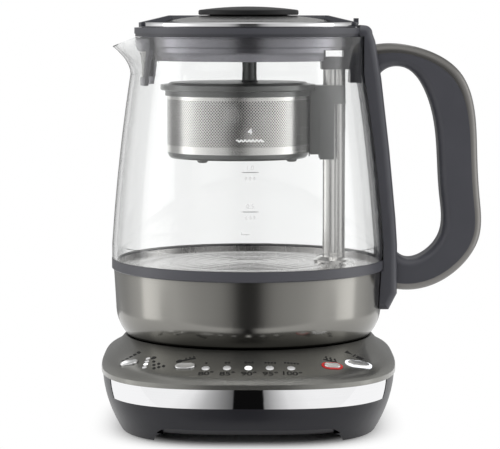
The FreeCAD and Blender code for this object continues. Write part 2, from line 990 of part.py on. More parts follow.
def ring_light(button):
    """Light guide round a button, flush with the panel."""
    x, y, length, width = BUTTONS[button]
    depth = float(S.panel_wall) + 1
    outer = pill(length, width, depth, float(S.button_gap + S.light_ring - S.seat_gap))
    inner = pill(length, width, depth, float(S.button_gap))
    ring = on_panel(outer.cut(inner), PanelSpot(x, y), depth - 0.25)
    return piece(freeform(RINGED[button], ring), RINGED[button])


def light_pipes(grow=0.0, strength=True, temperature=True):
    """Upright light guides from the board to the panel's skin."""
    pipes = []
    if temperature:
        for index in (-2, -1, 0, 1, 2):
            y = float(S.light_centre_y) + float(S.light_arc_drop) * (index / 2) ** 2
            pipes.append((float(S.light_pitch) * index, y, float(S.light_radius)))
    if strength:
        for index in range(4):
            y = float(S.strength_light_front + S.strength_light_pitch * index)
            x = float(S.strength_light_x + S.strength_light_lean * index)
            pipes.append((x, y, float(S.strength_light_radius)))
    low = float(S.board_bottom + S.board_thickness)
    top = float(S.panel_top)
    skin = panel_solid()
    rods = [Part.makeCylinder(radius + grow, top - low, Vector(x, y, low)) for x, y, radius in pipes]
    return rods if grow else [rod.common(skin.fuse(under_panel(low))) for rod in rods]


def under_panel(low):
    """Space straight below the panel, down to the board."""
    reach = float(S.base_front)
    return Part.makeBox(2 * reach, 2 * reach, float(S.housing_top) - low + 1, Vector(-reach, -reach, low))


def indicator_lights():
    temperature = Part.makeCompound(light_pipes(strength=False))
    strength = Part.makeCompound(light_pipes(temperature=False))
    piece(freeform("temperature_lights", temperature), "temperature_lights")
    piece(freeform("strength_lights", strength), "strength_lights")


def control_board():
    """Circuit board behind the panel, cut to the housing's front outline."""
    margin = float(S.housing_wall + S.band_thickness + S.board_margin)
    outline = oval(S.waist_half_width - margin, S.waist_front - margin + 5, S.waist_rear, S.base_squareness,
                   S.board_bottom)
    board = Part.Face(outline).extrude(Vector(0, 0, float(S.board_thickness)))
    reach = 2 * float(S.base_front)
    front = Part.makeBox(reach, reach, reach, Vector(-reach / 2, -reach - float(S.board_rear), 0))
    return piece(freeform("control_board", board.common(front)), "control_board")


def button_switches():
    """Square tact switches on the board, each with a round head under its button."""
    side = float(S.switch_size)
    low = float(S.board_bottom + S.board_thickness)
    switches = []
    for x, y, _, _ in BUTTONS.values():
        head = switch_top(PanelSpot(x, y))
        case = Part.makeBox(side, side, float(S.switch_height),
                            Vector(head.x - side / 2, head.y - side / 2, low))
        knob = Part.makeCylinder(float(S.button_stem), float(S.switch_head),
                                 Vector(head.x, head.y, low + float(S.switch_height)))
        switches.append(case.fuse(knob))
    return piece(freeform("button_switches", Part.makeCompound(switches)), "button_switches")


def seat_insert():
    """Black dish that the jug stands in, with screw bosses under its floor."""
    top = S.panel_top - S.dish_drop
    outer = S.seat_radius - S.rim_width - S.dish_gap
    under = S.dish_floor_top - S.dish_thickness
    hole = S.connector_radius + S.fit_gap
    dish = turned("dish", [
        (hole, under), (S.dish_floor_radius, under), (outer, S.dish_shoulder - S.dish_thickness),
        (outer, top), (outer - S.dish_wall, top), (outer - S.dish_wall, S.dish_shoulder),
        (S.dish_floor_radius, S.dish_floor_top), (hole, S.dish_floor_top)])
    floor_top = S.floor_bottom + S.floor_thickness
    bosses = [cylinder(f"dish_boss_{index}", S.boss_radius, S.dish_floor_top - floor_top, x, y, floor_top)
              for index, (x, y) in enumerate(boss_places())]
    hole_low = S.floor_bottom + S.screw_head_height
    holes = [cylinder(f"dish_boss_hole_{index}", S.screw_radius, S.screw_length, x, y, hole_low)
             for index, (x, y) in enumerate(boss_places())]
    return piece(cut("seat_insert", joined("dish_with_bosses", dish, *bosses), *holes), "seat_insert")


def power_connector():
    """Round post that plugs into the jug at any angle: a ring groove round a pin hole."""
    flange_top = S.dish_floor_top - S.dish_thickness
    flange_low = flange_top - S.connector_flange_thickness
    groove = S.connector_top - S.connector_groove_depth
    return piece(turned("power_connector", [
        (0, flange_low), (S.connector_flange, flange_low), (S.connector_flange, flange_top),
        (S.connector_radius, flange_top), (S.connector_radius, S.connector_top - 1.5),
        (S.connector_radius - 1.5, S.connector_top), (S.connector_groove_outer, S.connector_top),
        (S.connector_groove_outer, groove), (S.connector_groove_inner, groove),
        (S.connector_groove_inner, S.connector_top), (S.connector_pin_hole, S.connector_top),
        (S.connector_pin_hole, groove), (0, groove)]), "power_connector")


def connector_contacts():
    """Sprung ring at the bottom of the groove and a button at the bottom of the pin hole."""
    low = S.connector_top - S.connector_groove_depth
    high = low + S.contact_thickness
    ring = turned("contact_ring", [
        (S.connector_groove_inner + S.fit_gap, low), (S.connector_groove_outer - S.fit_gap, low),
        (S.connector_groove_outer - S.fit_gap, high), (S.connector_groove_inner + S.fit_gap, high)])
    pin = cylinder("contact_button", S.connector_pin_hole - S.fit_gap, S.contact_thickness, 0, 0, low)
    return piece(group("connector_contacts", [ring, pin]), "connector_contacts")


def rubber_feet():
    pads = [cylinder(f"foot_pad_{index}", S.foot_pad_radius, S.foot_pad_height, x, y)
            for index, (x, y) in enumerate(foot_places())]
    return piece(group("rubber_feet", pads), "rubber_feet")


def base_screws():
    screws = []
    for index, (x, y) in enumerate(boss_places()):
        seat = S.floor_bottom + S.screw_head_height
        head = cylinder(f"base_screw_head_{index}", S.screw_head, S.screw_head_height, x, y, S.floor_bottom)
        shank = cylinder(f"base_screw_shank_{index}", S.screw_radius, S.screw_length, x, y, seat)
        screws.append(joined(f"base_screw_{index}", head, shank))
    return piece(group("base_screws", screws), "base_screws")


def cord_gland():
    """Flanged bush in the rear wall that the mains lead passes through."""
    length = S.gland_length
    bush = turned("cord_gland", [
        (S.gland_bore, -length), (S.gland_radius, -length), (S.gland_radius, 0), (S.gland_flange, 0),
        (S.gland_flange, S.gland_flange_thickness), (S.gland_bore, S.gland_flange_thickness)])
    bush.Placement.Rotation = FreeCAD.Rotation(Vector(1, 0, 0), -90)
    bound(bush, Placement__Base__z=S.gland_height, Placement__Base__y=S.belt_rear + S.seat_gap)
    return piece(bush, "cord_gland")


def power_base():
    base_lower_housing()
    base_top_panel()
    base_chrome_band()
    seat_insert()
    power_connector()
    connector_contacts()
    control_board()
    button_switches()
    indicator_lights()
    for name in BUTTONS:
        push_button(name)
    for name in RINGED:
        ring_light(name)
    rubber_feet()
    base_screws()
    cord_gland()


# ---------------------------------------------------------------- jug

def jug_socket():
    """Turned socket over the connector, with a ring blade and a centre pin."""
    low = S.jug_bottom
    roof = S.socket_roof - S.socket_wall
    blade_tip = S.connector_top - S.connector_groove_depth + S.contact_thickness + S.fit_gap
    blade_in = S.socket_blade - S.socket_blade_half
    blade_out = S.socket_blade + S.socket_blade_half
    return piece(turned("jug_socket", [
        (S.socket_bore, low), (S.socket_radius, low), (S.socket_radius, S.socket_roof), (0, S.socket_roof),
        (0, blade_tip), (S.socket_pin, blade_tip), (S.socket_pin, roof), (blade_in, roof),
        (blade_in, blade_tip), (blade_out, blade_tip), (blade_out, roof), (S.socket_bore, roof)]),
        "jug_socket")


def shell_foot(curve):
    """Radius at which the shell's curve, or its inside, reaches the shell's bottom edge."""
    centre = S.shell_knee_radius - S.shell_curve
    drop = S.shell_knee - S.shell_bottom
    tuck = math.sqrt(float(curve) ** 2 - float(drop) ** 2)
    return Size(float(centre) + tuck, f"({centre.text} + sqrt(pow({curve.text}; 2) - pow({drop.text}; 2)))")


def jug_bottom_cover():
    """Black dish under the jug that holds the socket in its middle."""
    hole = S.socket_radius + S.socket_gap
    low = S.jug_bottom
    floor = low + S.cover_thickness
    top = low + S.cover_height
    roof = S.socket_roof + S.fit_gap
    lip = shell_foot(S.shell_curve - S.shell_wall) - S.seat_gap
    return piece(turned("jug_bottom_cover", [
        (hole, low), (S.cover_radius, low), (shell_foot(S.shell_curve), S.shell_bottom),
        (lip, S.shell_bottom), (lip, S.shell_bottom + 2), (S.cover_radius - S.cover_wall, top),
        (S.cover_radius - 2 * S.cover_wall, top), (S.cover_radius - 2 * S.cover_wall, floor),
        (hole + S.cover_wall, floor), (hole + S.cover_wall, roof + S.cover_wall), (0, roof + S.cover_wall),
        (0, roof), (hole, roof)]), "jug_bottom_cover")


def jug_metal_shell():
    """Brushed metal bowl round the jug's foot."""
    wall = S.shell_wall
    inner = S.shell_curve - wall
    return piece(turned("jug_metal_shell", [
        (shell_foot(inner), S.shell_bottom), (shell_foot(S.shell_curve), S.shell_bottom), -S.shell_curve,
        (S.shell_knee_radius, S.shell_knee), (S.shell_top_radius, S.ring_bottom),
        (S.shell_top_radius - wall, S.ring_bottom), (S.shell_knee_radius - wall, S.shell_knee), inner]),
        "jug_metal_shell")


def glass_ring():
    """Dark ring between the metal shell and the glass, with a rebate for the gasket."""
    rebate = S.ring_top - S.gasket_height
    seat = S.ring_radius - 0.3 - S.gasket_width
    return piece(turned("glass_ring", [
        (S.ring_radius - S.ring_wall, S.ring_bottom), (S.ring_radius - 0.6, S.ring_bottom),
        (S.ring_radius, S.ring_bottom + 0.6), (S.ring_radius, S.ring_top), (S.ring_radius - 0.3, S.ring_top),
        (S.ring_radius - 0.3, rebate), (seat, rebate), (S.ring_radius - S.ring_wall, rebate)]), "glass_ring")


def glass_gasket():
    low = S.ring_top - S.gasket_height
    outer = S.ring_radius - 0.3
    inner = outer - S.gasket_width
    return piece(turned("glass_gasket", [
        (inner, low), (outer, low), (outer, S.ring_top), (inner, S.ring_top)]), "glass_gasket")


def spout_oval(height, inset, beak):
    """Round jug outline with a beak towards -X that fades over the spout's half angle."""
    radius = float(S.neck_radius) - inset
    points = []
    for step in range(-28, 28):
        share = step / 28
        angle = math.pi * share * abs(share) ** 0.7
        spread = math.degrees(angle) / float(S.spout_half_angle)
        reach = radius + beak * math.exp(-spread ** 2)
        points.append(Vector(-reach * math.cos(angle), reach * math.sin(angle), height))
    curve = Part.BSplineCurve()
    curve.interpolate(Points=points, PeriodicFlag=True)
    return Part.Wire([curve.toShape()])


def glass_neck(inset):
    """Neck of the jug from where the spout starts up to the rim, moved inwards by inset."""
    start = float(S.spout_start)
    rise = float(S.rim_height) - start
    sections = []
    for share in (0.0, 0.25, 0.45, 0.65, 0.85, 1.0):
        beak = float(S.spout_reach) * 1.45 * share ** 1.9
        sections.append(spout_oval(start + share * rise, inset, beak))
    return Part.makeLoft(sections, True, False)


def glass_jug():
    """Drawn glass body with a pulled spout; open at the top and at the heating plate."""
    wall = S.glass_wall
    start = S.spout_start
    body = turned("glass_body", [
        (S.glass_belly - wall, S.ring_top), (S.glass_belly, S.ring_top), (S.glass_belly, S.belly_height),
        -S.glass_curve, (S.neck_radius, start), (S.neck_radius - wall, start), S.glass_curve,
        (S.glass_belly - wall, S.belly_height)])
    neck = glass_neck(0.0).cut(glass_neck(float(wall)))
    neck = neck.cut(pouring_lip_cut())
    return piece(joined("glass_jug", body, freeform("glass_neck_blank", neck)), "glass_jug")


def pouring_lip_cut():
    """Wedge that lowers the rim towards the tip of the spout."""
    tip = float(S.neck_radius + S.spout_reach)
    fall = float(S.rim_height - S.spout_tip)
    back = float(S.neck_radius) - 4
    width = float(S.neck_radius)
    beyond = -tip - width
    above = float(S.rim_height) + width
    corners = [Vector(-back, -width, float(S.rim_height)), Vector(-tip - 0.01, -width, float(S.spout_tip)),
               Vector(beyond, -width, float(S.spout_tip) - fall), Vector(beyond, -width, above),
               Vector(-back, -width, above)]
    return Part.Face(Part.makePolygon(corners + corners[:1])).extrude(Vector(0, 2 * width, 0))


def heating_plate():
    """Pressed steel plate with a raised centre and an upturned rim under the glass."""
    outer = S.ring_radius - S.ring_wall - S.plate_gap
    low = S.plate_height - S.plate_thickness
    turn = S.plate_step
    foot = turn + S.plate_slope
    disc = turned("plate_disc", [
        (0, low + S.plate_rise), (turn, low + S.plate_rise), (foot, low), (outer, low), (outer, S.plate_rim),
        (outer - S.plate_thickness, S.plate_rim), (outer - S.plate_thickness, S.plate_height),
        (foot, S.plate_height), (turn, S.plate_height + S.plate_rise), (0, S.plate_height + S.plate_rise)])
    hole = cylinder("plate_screw_bar_hole", S.screw_bar_radius + S.fit_gap, 2 * S.plate_rim, S.post_x)
    return piece(cut("heating_plate", disc, hole), "heating_plate")


def heating_element():
    """Open ring of tube pressed against the plate; its gap leaves room for the lift motor."""
    level = S.plate_height - S.plate_thickness + S.plate_rise - S.element_tube
    ring = DOC.addObject("Part::Torus", "element_ring")
    bound(ring, Radius1=S.element_radius, Radius2=S.element_tube, Angle3=360 - S.element_gap_angle)
    moved(ring, z=level)
    ring.Placement.Rotation = FreeCAD.Rotation(Vector(0, 0, 1), float(S.element_gap_angle) / 2)
    terminals = []
    for index, side in enumerate((-1, 1)):
        angle = math.radians(side * float(S.element_gap_angle) / 2)
        terminals.append(cylinder(f"element_terminal_{index}", S.terminal_radius, S.terminal_length,
                                  S.element_radius * math.cos(angle), S.element_radius * math.sin(angle),
                                  level - S.terminal_length))
    return piece(joined("heating_element", ring, *terminals), "heating_element")


def temperature_probe():
    top = S.plate_height - S.plate_thickness + S.plate_rise
    body = cylinder("probe_body", S.probe_radius, S.probe_length, -S.probe_offset, 0, top - S.probe_length)
    leads = [cylinder(f"probe_lead_{index}", 0.6, 5, side - S.probe_offset, 0, top - S.probe_length - 4)
             for index, side in enumerate((-1.5, 1.5))]
    return piece(joined("temperature_probe", body, *leads), "temperature_probe")


def top_collar():
    """Ring on the glass rim, with a drip edge outside."""
    return piece(turned("top_collar", [
        (S.collar_inner, S.rim_height + S.seat_gap), (S.collar_lip, S.rim_height + S.seat_gap),
        (S.collar_lip, S.collar_bottom), (S.collar_radius, S.collar_bottom), (S.collar_radius, S.collar_top),
        (S.collar_inner, S.collar_top)]), "top_collar")


def jug_envelope(name):
    """Everything that the handle strap hugs, a hair larger than the jug."""
    gap = S.fit_gap
    return turned(name, [
        (0, S.shell_bottom), (S.shell_knee_radius + gap, S.shell_bottom),
        (S.shell_knee_radius + gap, S.shell_knee),
        (S.shell_top_radius + gap, S.ring_bottom - 0.1), (S.ring_radius + gap, S.ring_bottom - 0.1),
        (S.ring_radius + gap, S.belly_height), -S.glass_curve, (S.neck_radius + gap, S.spout_start),
        (S.neck_radius + gap, S.rim_height + gap), (S.collar_radius, S.rim_height + gap),
        (S.collar_radius, S.strap_top + 5), (0, S.strap_top + 5)])


def handle_strap():
    """Moulded spine behind the glass, from the collar down over the ring to the shell."""
    inner = S.strap_depth
    outline = [
        (inner, S.strap_bottom), (S.strap_toe, S.strap_bottom), (S.strap_outer, S.strap_knee_height),
        (S.strap_outer, S.strap_outer_height), (S.strap_lower, S.strap_lower_height),
        (S.strap_middle, S.strap_middle_height), (S.strap_upper, S.strap_upper_height),
        (S.strap_shoulder, S.strap_shoulder_height), (S.strap_head, S.strap_top - S.strap_crown),
        -S.strap_crown, (S.strap_head - S.strap_crown, S.strap_top), (inner, S.strap_top)]
    blank = extruded("strap_blank", outline, "XZ_Plane", 2 * S.strap_half_width, S.strap_edge)
    holes = handle_screw_shapes("strap_screw_room", S.seat_gap)
    return piece(cut("handle_strap", blank, jug_envelope("strap_hollow"), *holes), "handle_strap")


def rod_along_x(name, radius, length, x, z):
    rod = cylinder(name, radius, length, x, 0, z)
    rod.Placement.Rotation = FreeCAD.Rotation(Vector(0, 1, 0), 90)
    return rod


def handle_screw_shapes(name, gap):
    """Heads and shanks of the two screws that pull the grip against the strap."""
    shapes = []
    seats = ((S.handle_screw_lower, S.ring_radius + S.fit_gap + 0.2),
             (S.handle_screw_upper, S.neck_radius + 0.7))
    thickness = S.handle_screw_head_height
    for index, (level, x) in enumerate(seats):
        head = rod_along_x(f"{name}_head_{index}", S.handle_screw_head + gap, thickness, x, level)
        shank = rod_along_x(f"{name}_shank_{index}", S.handle_screw_radius + gap, S.handle_screw_length,
                            x + thickness, level)
        shapes.append(joined(f"{name}_{index}", head, shank))
    return shapes


def handle_screws():
    return piece(group("handle_screws", handle_screw_shapes("handle_screw", 0.0)), "handle_screws")


def strap_back(height):
    """X of the strap's back where the upper end of the grip meets it."""
    slope = (S.strap_shoulder - S.strap_upper) / (S.strap_shoulder_height - S.strap_upper_height)
    return float(S.strap_upper + slope * (height - S.strap_upper_height))


def spline_through(points):
    curve = Part.BSplineCurve()
    curve.interpolate(Points=[Vector(float(x), 0, float(z)) for x, z in points])
    return curve.toShape()


def grip_outer_points(inset):
    """Outer edge of the grip, top to bottom; with inset, the inner edge of the trim."""
    top = float(S.trim_top) if inset else 0.0
    side = float(S.trim_side) if inset else 0.0
    start = float(S.grip_top) - top
    return [
        (strap_back(start), start), (S.grip_top_x, S.grip_top_end - top),
        (S.grip_corner_x - side, S.grip_corner_height - side), (S.grip_side - side, S.grip_side_height),
        (S.grip_back - side, S.grip_back_height), (S.grip_back - side, S.grip_back_low),
        (S.grip_low_x - side * 0.7, S.grip_low_height + side * 0.7), (S.strap_outer, S.grip_bottom + side)]


def grip_gap_points():
    """Edge of the finger gap, bottom to top."""
    return [
        (S.strap_outer, S.gap_bottom + S.gap_end_rise), (S.gap_bottom_x, S.gap_bottom),
        (S.gap_corner_x, S.gap_corner), (S.gap_back, S.gap_back_low), (S.gap_back, S.gap_back_height),
        (S.gap_side, S.gap_side_low), (S.gap_side_x, S.gap_side_height), (S.gap_top_end_x, S.gap_top_end),
        (S.gap_top_x, S.gap_top), (strap_back(S.gap_top - S.gap_end_rise), S.gap_top - S.gap_end_rise)]


def grip_slice(outer, half_width):
    """Solid between an outer edge and the finger gap, as wide as twice half_width."""
    curves = [spline_through(outer), spline_through(grip_gap_points())]
    ends = [[vertex.Point for vertex in curve.Vertexes] for curve in curves]
    closing = [Part.makeLine(ends[0][1], ends[1][0]), Part.makeLine(ends[1][1], ends[0][0])]
    wire = Part.Wire([curves[0], closing[0], curves[1], closing[1]])
    solid = Part.Face(wire).extrude(Vector(0, 2 * half_width, 0))
    solid.translate(Vector(0, -half_width, 0))
    return solid


def whole_grip():
    """Grip and trim as one form with round edges; its ends butt against the strap."""
    solid = grip_slice(grip_outer_points(False), float(S.grip_half_width))
    edges = [edge for edge in solid.Edges if isinstance(edge.Curve, Part.BSplineCurve)]
    return solid.makeFillet(float(S.grip_edge), edges)


def trim_region():
    """Everything inside the trim's inner edge."""
    return grip_slice(grip_outer_points(True), 2 * float(S.grip_half_width))


def handle_grip():
    """Dark inner part of the C-shaped grip."""
    core = freeform("grip_core", whole_grip().common(trim_region()))
    return piece(cut("handle_grip", core, *handle_screw_shapes("grip_screw_room", 0.0)), "handle_grip")


def handle_trim():
    """Metallic strip along the grip's outer edge."""
    return piece(freeform("handle_trim", whole_grip().cut(trim_region())), "handle_trim")


def guide_post():
    """Two-lobed steel post: a large lobe for the drive magnet and a small one for the wires."""
    low = S.plate_height + S.plate_rise + S.seat_gap
    height = S.post_top - low
    outer = joined("post_outer", cylinder("post_lobe", S.post_radius, height, S.post_x, 0, low),
                   cylinder("post_small_lobe", S.post_lobe_radius, height, S.post_lobe_x, 0, low))
    bore = cylinder("post_bore", S.post_bore, height, S.post_x, 0, low)
    duct = cylinder("post_duct", S.post_duct - 0.6, height, S.post_lobe_x + 1, 0, low)
    return piece(cut("guide_post", outer, bore, duct), "guide_post")


def post_foot():
    """Flange that seals the post to the heating plate."""
    low = S.plate_height + S.plate_rise
    step = S.post_foot_step
    flange = turned("post_foot_flange", [
        (0, low), (S.post_foot_radius, low), (S.post_foot_radius, low + step),
        (S.post_radius + 2, low + S.post_foot_height), (0, low + S.post_foot_height)], x=S.post_x)
    hole = cylinder("post_foot_hole", S.post_radius + S.seat_gap, 3 * S.post_foot_height, S.post_x, 0,
                    low - S.post_foot_height)
    small = cylinder("post_foot_small_hole", S.post_lobe_radius + S.seat_gap, 3 * S.post_foot_height,
                     S.post_lobe_x, 0, low - S.post_foot_height)
    return piece(cut("post_foot", flange, hole, small), "post_foot")


def post_bracket():
    """Arm from the collar that clamps the top of the guide post, with an open window."""
    half = S.clamp_half_width
    outline = [
        (S.clamp_left, S.clamp_bottom), (S.leg_left, S.clamp_bottom), (S.leg_left, S.leg_bottom),
        (S.bracket_right, S.leg_bottom), (S.bracket_right, S.bracket_top), (S.clamp_left, S.bracket_top)]
    blank = extruded("bracket_blank", outline, "XZ_Plane", 2 * half)
    window = box("bracket_window", S.window_right - S.window_left, 4 * half,
                 S.bracket_bottom - S.clamp_top, S.window_left, -2 * half, S.clamp_top)
    reach = S.neck_radius - S.glass_wall - S.fit_gap
    above = 2 * S.bracket_top
    room = turned("bracket_room", [
        (reach, 0), (2 * S.neck_radius, 0), (2 * S.neck_radius, above), (reach, above)])
    low = S.clamp_bottom - 1
    depth = S.post_top - low + S.seat_gap
    holes = [cylinder("clamp_hole", S.post_radius + S.seat_gap, depth, S.post_x, 0, low),
             cylinder("clamp_small_hole", S.post_lobe_radius + S.seat_gap, depth, S.post_lobe_x, 0, low)]
    return piece(cut("post_bracket", blank, window, room, *holes), "post_bracket")


def lift_motor():
    """Geared motor under the plate, straight below the post."""
    motor = cylinder("motor_can", S.motor_radius, S.motor_height, S.post_x, 0, S.motor_bottom)
    shaft = cylinder("motor_shaft", S.motor_shaft, 4, S.post_x, 0, S.motor_bottom + S.motor_height)
    return piece(joined("lift_motor", motor, shaft), "lift_motor")


def jug():
    jug_socket()
    jug_bottom_cover()
    jug_metal_shell()
    glass_ring()
    glass_gasket()
    glass_jug()
    heating_plate()
    heating_element()
    temperature_probe()
    top_collar()
    handle_strap()
    handle_grip()
    handle_trim()
    handle_screws()
    guide_post()
    post_foot()
    post_bracket()
    lift_motor()


# ---------------------------------------------------------------- basket lift

def lead_screw():
    low = S.motor_bottom + S.motor_height + 4
    bar = cylinder("lead_screw", S.screw_bar_radius, S.screw_bar_top - low, S.post_x, 0, low)
    return piece(bar, "lead_screw")


def drive_magnet():
    """Magnet nut that rides on the lead screw inside the post."""
    low = S.slider_middle - S.slider_height / 2
    barrel = cylinder("drive_magnet_barrel", S.slider_radius, S.slider_height, S.post_x, 0, low)
    thread = cylinder("drive_magnet_thread", S.screw_bar_radius + S.slide_gap, 2 * S.slider_height,
                      S.post_x, 0, low - 1)
    return piece(cut("drive_magnet", barrel, thread), "drive_magnet")


def basket_carrier():
    """Bracket that slides on the post: top arm, long block for the magnet and two cheeks."""
    arm = box("carrier_arm", S.carrier_right - S.carrier_left, 2 * S.carrier_half_width,
              S.arm_top - S.arm_bottom, S.carrier_left, -S.carrier_half_width, S.arm_bottom)
    block = box("carrier_block", S.block_right - S.carrier_left, 2 * S.block_half_width,
                S.arm_bottom - S.block_bottom, S.carrier_left, -S.block_half_width, S.block_bottom)
    cheeks = []
    for index, side in enumerate((-1, 1)):
        inner = S.cheek_half_width - S.cheek_wall if side > 0 else -S.cheek_half_width
        cheeks.append(box(f"carrier_cheek_{index}", S.cheek_right - S.block_right + 2, S.cheek_wall,
                          S.arm_bottom - S.cheek_bottom, S.block_right - 2, inner, S.cheek_bottom))
    blank = joined("carrier_blank", arm, block, *cheeks)
    long = S.arm_top - S.cheek_bottom + 10
    low = S.cheek_bottom - 5
    gap = S.fit_gap
    tools = [
        cylinder("carrier_guide", S.post_radius + gap, long, S.post_x, 0, low),
        cylinder("carrier_small_guide", S.post_lobe_radius + gap, long, S.post_lobe_x, 0, low),
        magnet_pocket("carrier_magnet_pocket", S.seat_gap), hook_shape("carrier_hook_slot", gap),
    ]
    for name, radius, start in (("wall", S.basket_radius, low),
                                ("step", S.basket_step_radius, S.basket_step_bottom - gap),
                                ("rim", S.basket_rim_radius, S.basket_rim_bottom - gap)):
        tools.append(cylinder(f"carrier_{name}_room", radius + gap, long, S.basket_x, 0, start))
    return piece(cut("basket_carrier", blank, *tools), "basket_carrier")


def magnet_pocket(name, gap):
    """Block-shaped magnet next to the post; the pocket is the same shape, a gap larger."""
    depth = S.magnet_depth
    right = S.post_x - S.post_radius - S.fit_gap - 0.6
    return box(name, depth + gap, 2 * (S.magnet_half_width + gap), S.magnet_height + 2 * gap,
               right - depth - gap, -S.magnet_half_width - gap, S.magnet_bottom - gap)


def carrier_magnet():
    return piece(magnet_pocket("carrier_magnet", 0.0), "carrier_magnet")


def hook_shape(name, gap):
    """T-shaped tongue of the basket, which drops into a slot of the carrier."""
    start = S.basket_x + S.basket_step_radius - S.seat_gap
    neck_end = S.basket_x + S.basket_rim_radius + S.hook_neck_depth
    low = S.hook_bottom - gap
    high = S.arm_top + gap * 10
    neck = box(name + "_neck", neck_end - start + 1, 2 * (S.hook_neck / 2 + gap), high - low,
               start, -S.hook_neck / 2 - gap, low)
    head = box(name + "_head", S.hook_depth + 2 * gap, 2 * (S.hook_head / 2 + gap), high - low,
               neck_end - gap, -S.hook_head / 2 - gap, low)
    return joined(name, neck, head)


def basket_lift():
    lead_screw()
    drive_magnet()
    basket_carrier()
    carrier_magnet()


# ---------------------------------------------------------------- tea basket

def basket_rim():
    """Plastic rim with a lower step, and the T-shaped hook that hangs it on the carrier."""
    inner = S.basket_radius - S.basket_steel - 0.8
    wall = S.basket_radius + S.seat_gap
    room = S.lid_plate_radius + S.fit_gap
    ring = turned("basket_rim_ring", [
        (wall, S.basket_step_bottom), (S.basket_step_radius, S.basket_step_bottom),
        (S.basket_step_radius, S.basket_rim_bottom), (S.basket_rim_radius - 0.6, S.basket_rim_bottom),
        (S.basket_rim_radius, S.basket_rim_bottom + 0.6), (S.basket_rim_radius, S.basket_rim_top),
        (room, S.basket_rim_top), (room, S.lid_plate_bottom),
        (inner, S.lid_plate_bottom), (inner, S.basket_wall_top), (wall, S.basket_wall_top)],
        x=S.basket_x)
    return piece(joined("basket_rim", ring, hook_shape("basket_hook", 0.0)), "basket_rim")


def basket_wall():
    return piece(turned("basket_wall", [
        (S.basket_radius - S.basket_steel, S.basket_wall_bottom), (S.basket_radius, S.basket_wall_bottom),
        (S.basket_radius, S.basket_wall_top), (S.basket_radius - S.basket_steel, S.basket_wall_top)],
        x=S.basket_x), "basket_wall")


def basket_floor():
    """Floor ring with cross spokes and small nubs to stand on."""
    outer = S.basket_radius
    inner = S.floor_ring_radius - S.floor_ring_width
    low = S.floor_ring_bottom
    ring = turned("floor_ring", [
        (inner, low), (S.floor_ring_radius - 1, low), (S.floor_ring_radius, low + 1),
        (outer, S.basket_wall_bottom), (inner, S.basket_wall_bottom)], x=S.basket_x)
    parts = [ring]
    root = 0.5
    for index, angle in enumerate((0, 60, 120)):
        spoke = box(f"floor_spoke_{index}", 2 * (inner + root), S.spoke_width, S.spoke_height)
        turn = FreeCAD.Rotation(Vector(0, 0, 1), angle)
        middle = turn.multVec(Vector(float(inner) + root, float(S.spoke_width) / 2, 0))
        foot = Vector(float(S.basket_x), 0, float(low + S.spoke_drop))
        spoke.Placement = FreeCAD.Placement(foot - middle, turn)
        parts.append(spoke)
    reach = S.floor_ring_radius - S.nub_radius - 0.6
    for index in range(4):
        angle = math.radians(float(S.nub_angle) + 90 * index)
        nub = turned(f"floor_nub_{index}", [
            (0, low - S.nub_drop), (S.nub_radius - S.nub_drop, low - S.nub_drop), -S.nub_drop,
            (S.nub_radius, low), (S.nub_radius, low + S.spoke_drop), (0, low + S.spoke_drop)],
            x=S.basket_x + reach * math.cos(angle), y=reach * math.sin(angle))
        parts.append(nub)
    return piece(joined("basket_floor", *parts), "basket_floor")


def basket_screen():
    """Fine steel screen on the spokes of the floor."""
    radius = S.floor_ring_radius - S.floor_ring_width - S.seat_gap
    low = S.floor_ring_bottom + S.spoke_drop + S.spoke_height + S.seat_gap
    return piece(cylinder("basket_screen", radius, S.screen_thickness, S.basket_x, 0, low), "basket_screen")


def basket_lid():
    """Plate that drops into the rim, with a dished edge and a shallow well round the stem."""
    edge = S.lid_plate_radius
    low = S.lid_plate_bottom + S.fit_gap
    plate = turned("basket_lid_plate", [
        (0, low), (edge, low), (edge, S.lid_plate_edge), (edge - S.lid_plate_bevel, S.lid_plate_top),
        (0, S.lid_plate_top)], x=S.basket_x)
    return piece(plate, "basket_lid")


def basket_stem():
    """Stem and round grip that lift the basket's lid and the basket."""
    low = S.lid_plate_top
    return piece(turned("basket_stem", [
        (0, low), (S.stem_radius + 1, low), (S.stem_radius, low + 1), (S.stem_radius, S.stem_top),
        (S.grip_disc_radius, S.stem_top + 1), (S.grip_disc_radius, S.stem_top + S.grip_disc_height - 1),
        (S.grip_disc_radius - 1, S.stem_top + S.grip_disc_height), (0, S.stem_top + S.grip_disc_height)],
        x=S.stem_x), "basket_stem")


def tea_basket():
    basket_rim()
    basket_wall()
    basket_floor()
    basket_screen()
    basket_lid()
    basket_stem()


# ---------------------------------------------------------------- lid

def sector(name, angle, inner, outer, low, high, middle):
    """Wedge of a ring, centred on a direction given in degrees from +X."""
    wedge = turned(name, [(inner, low), (outer, low), (outer, high), (inner, high)], angle=angle)
    wedge.Placement.Rotation = FreeCAD.Rotation(Vector(0, 0, 1), middle - angle / 2)
    return wedge


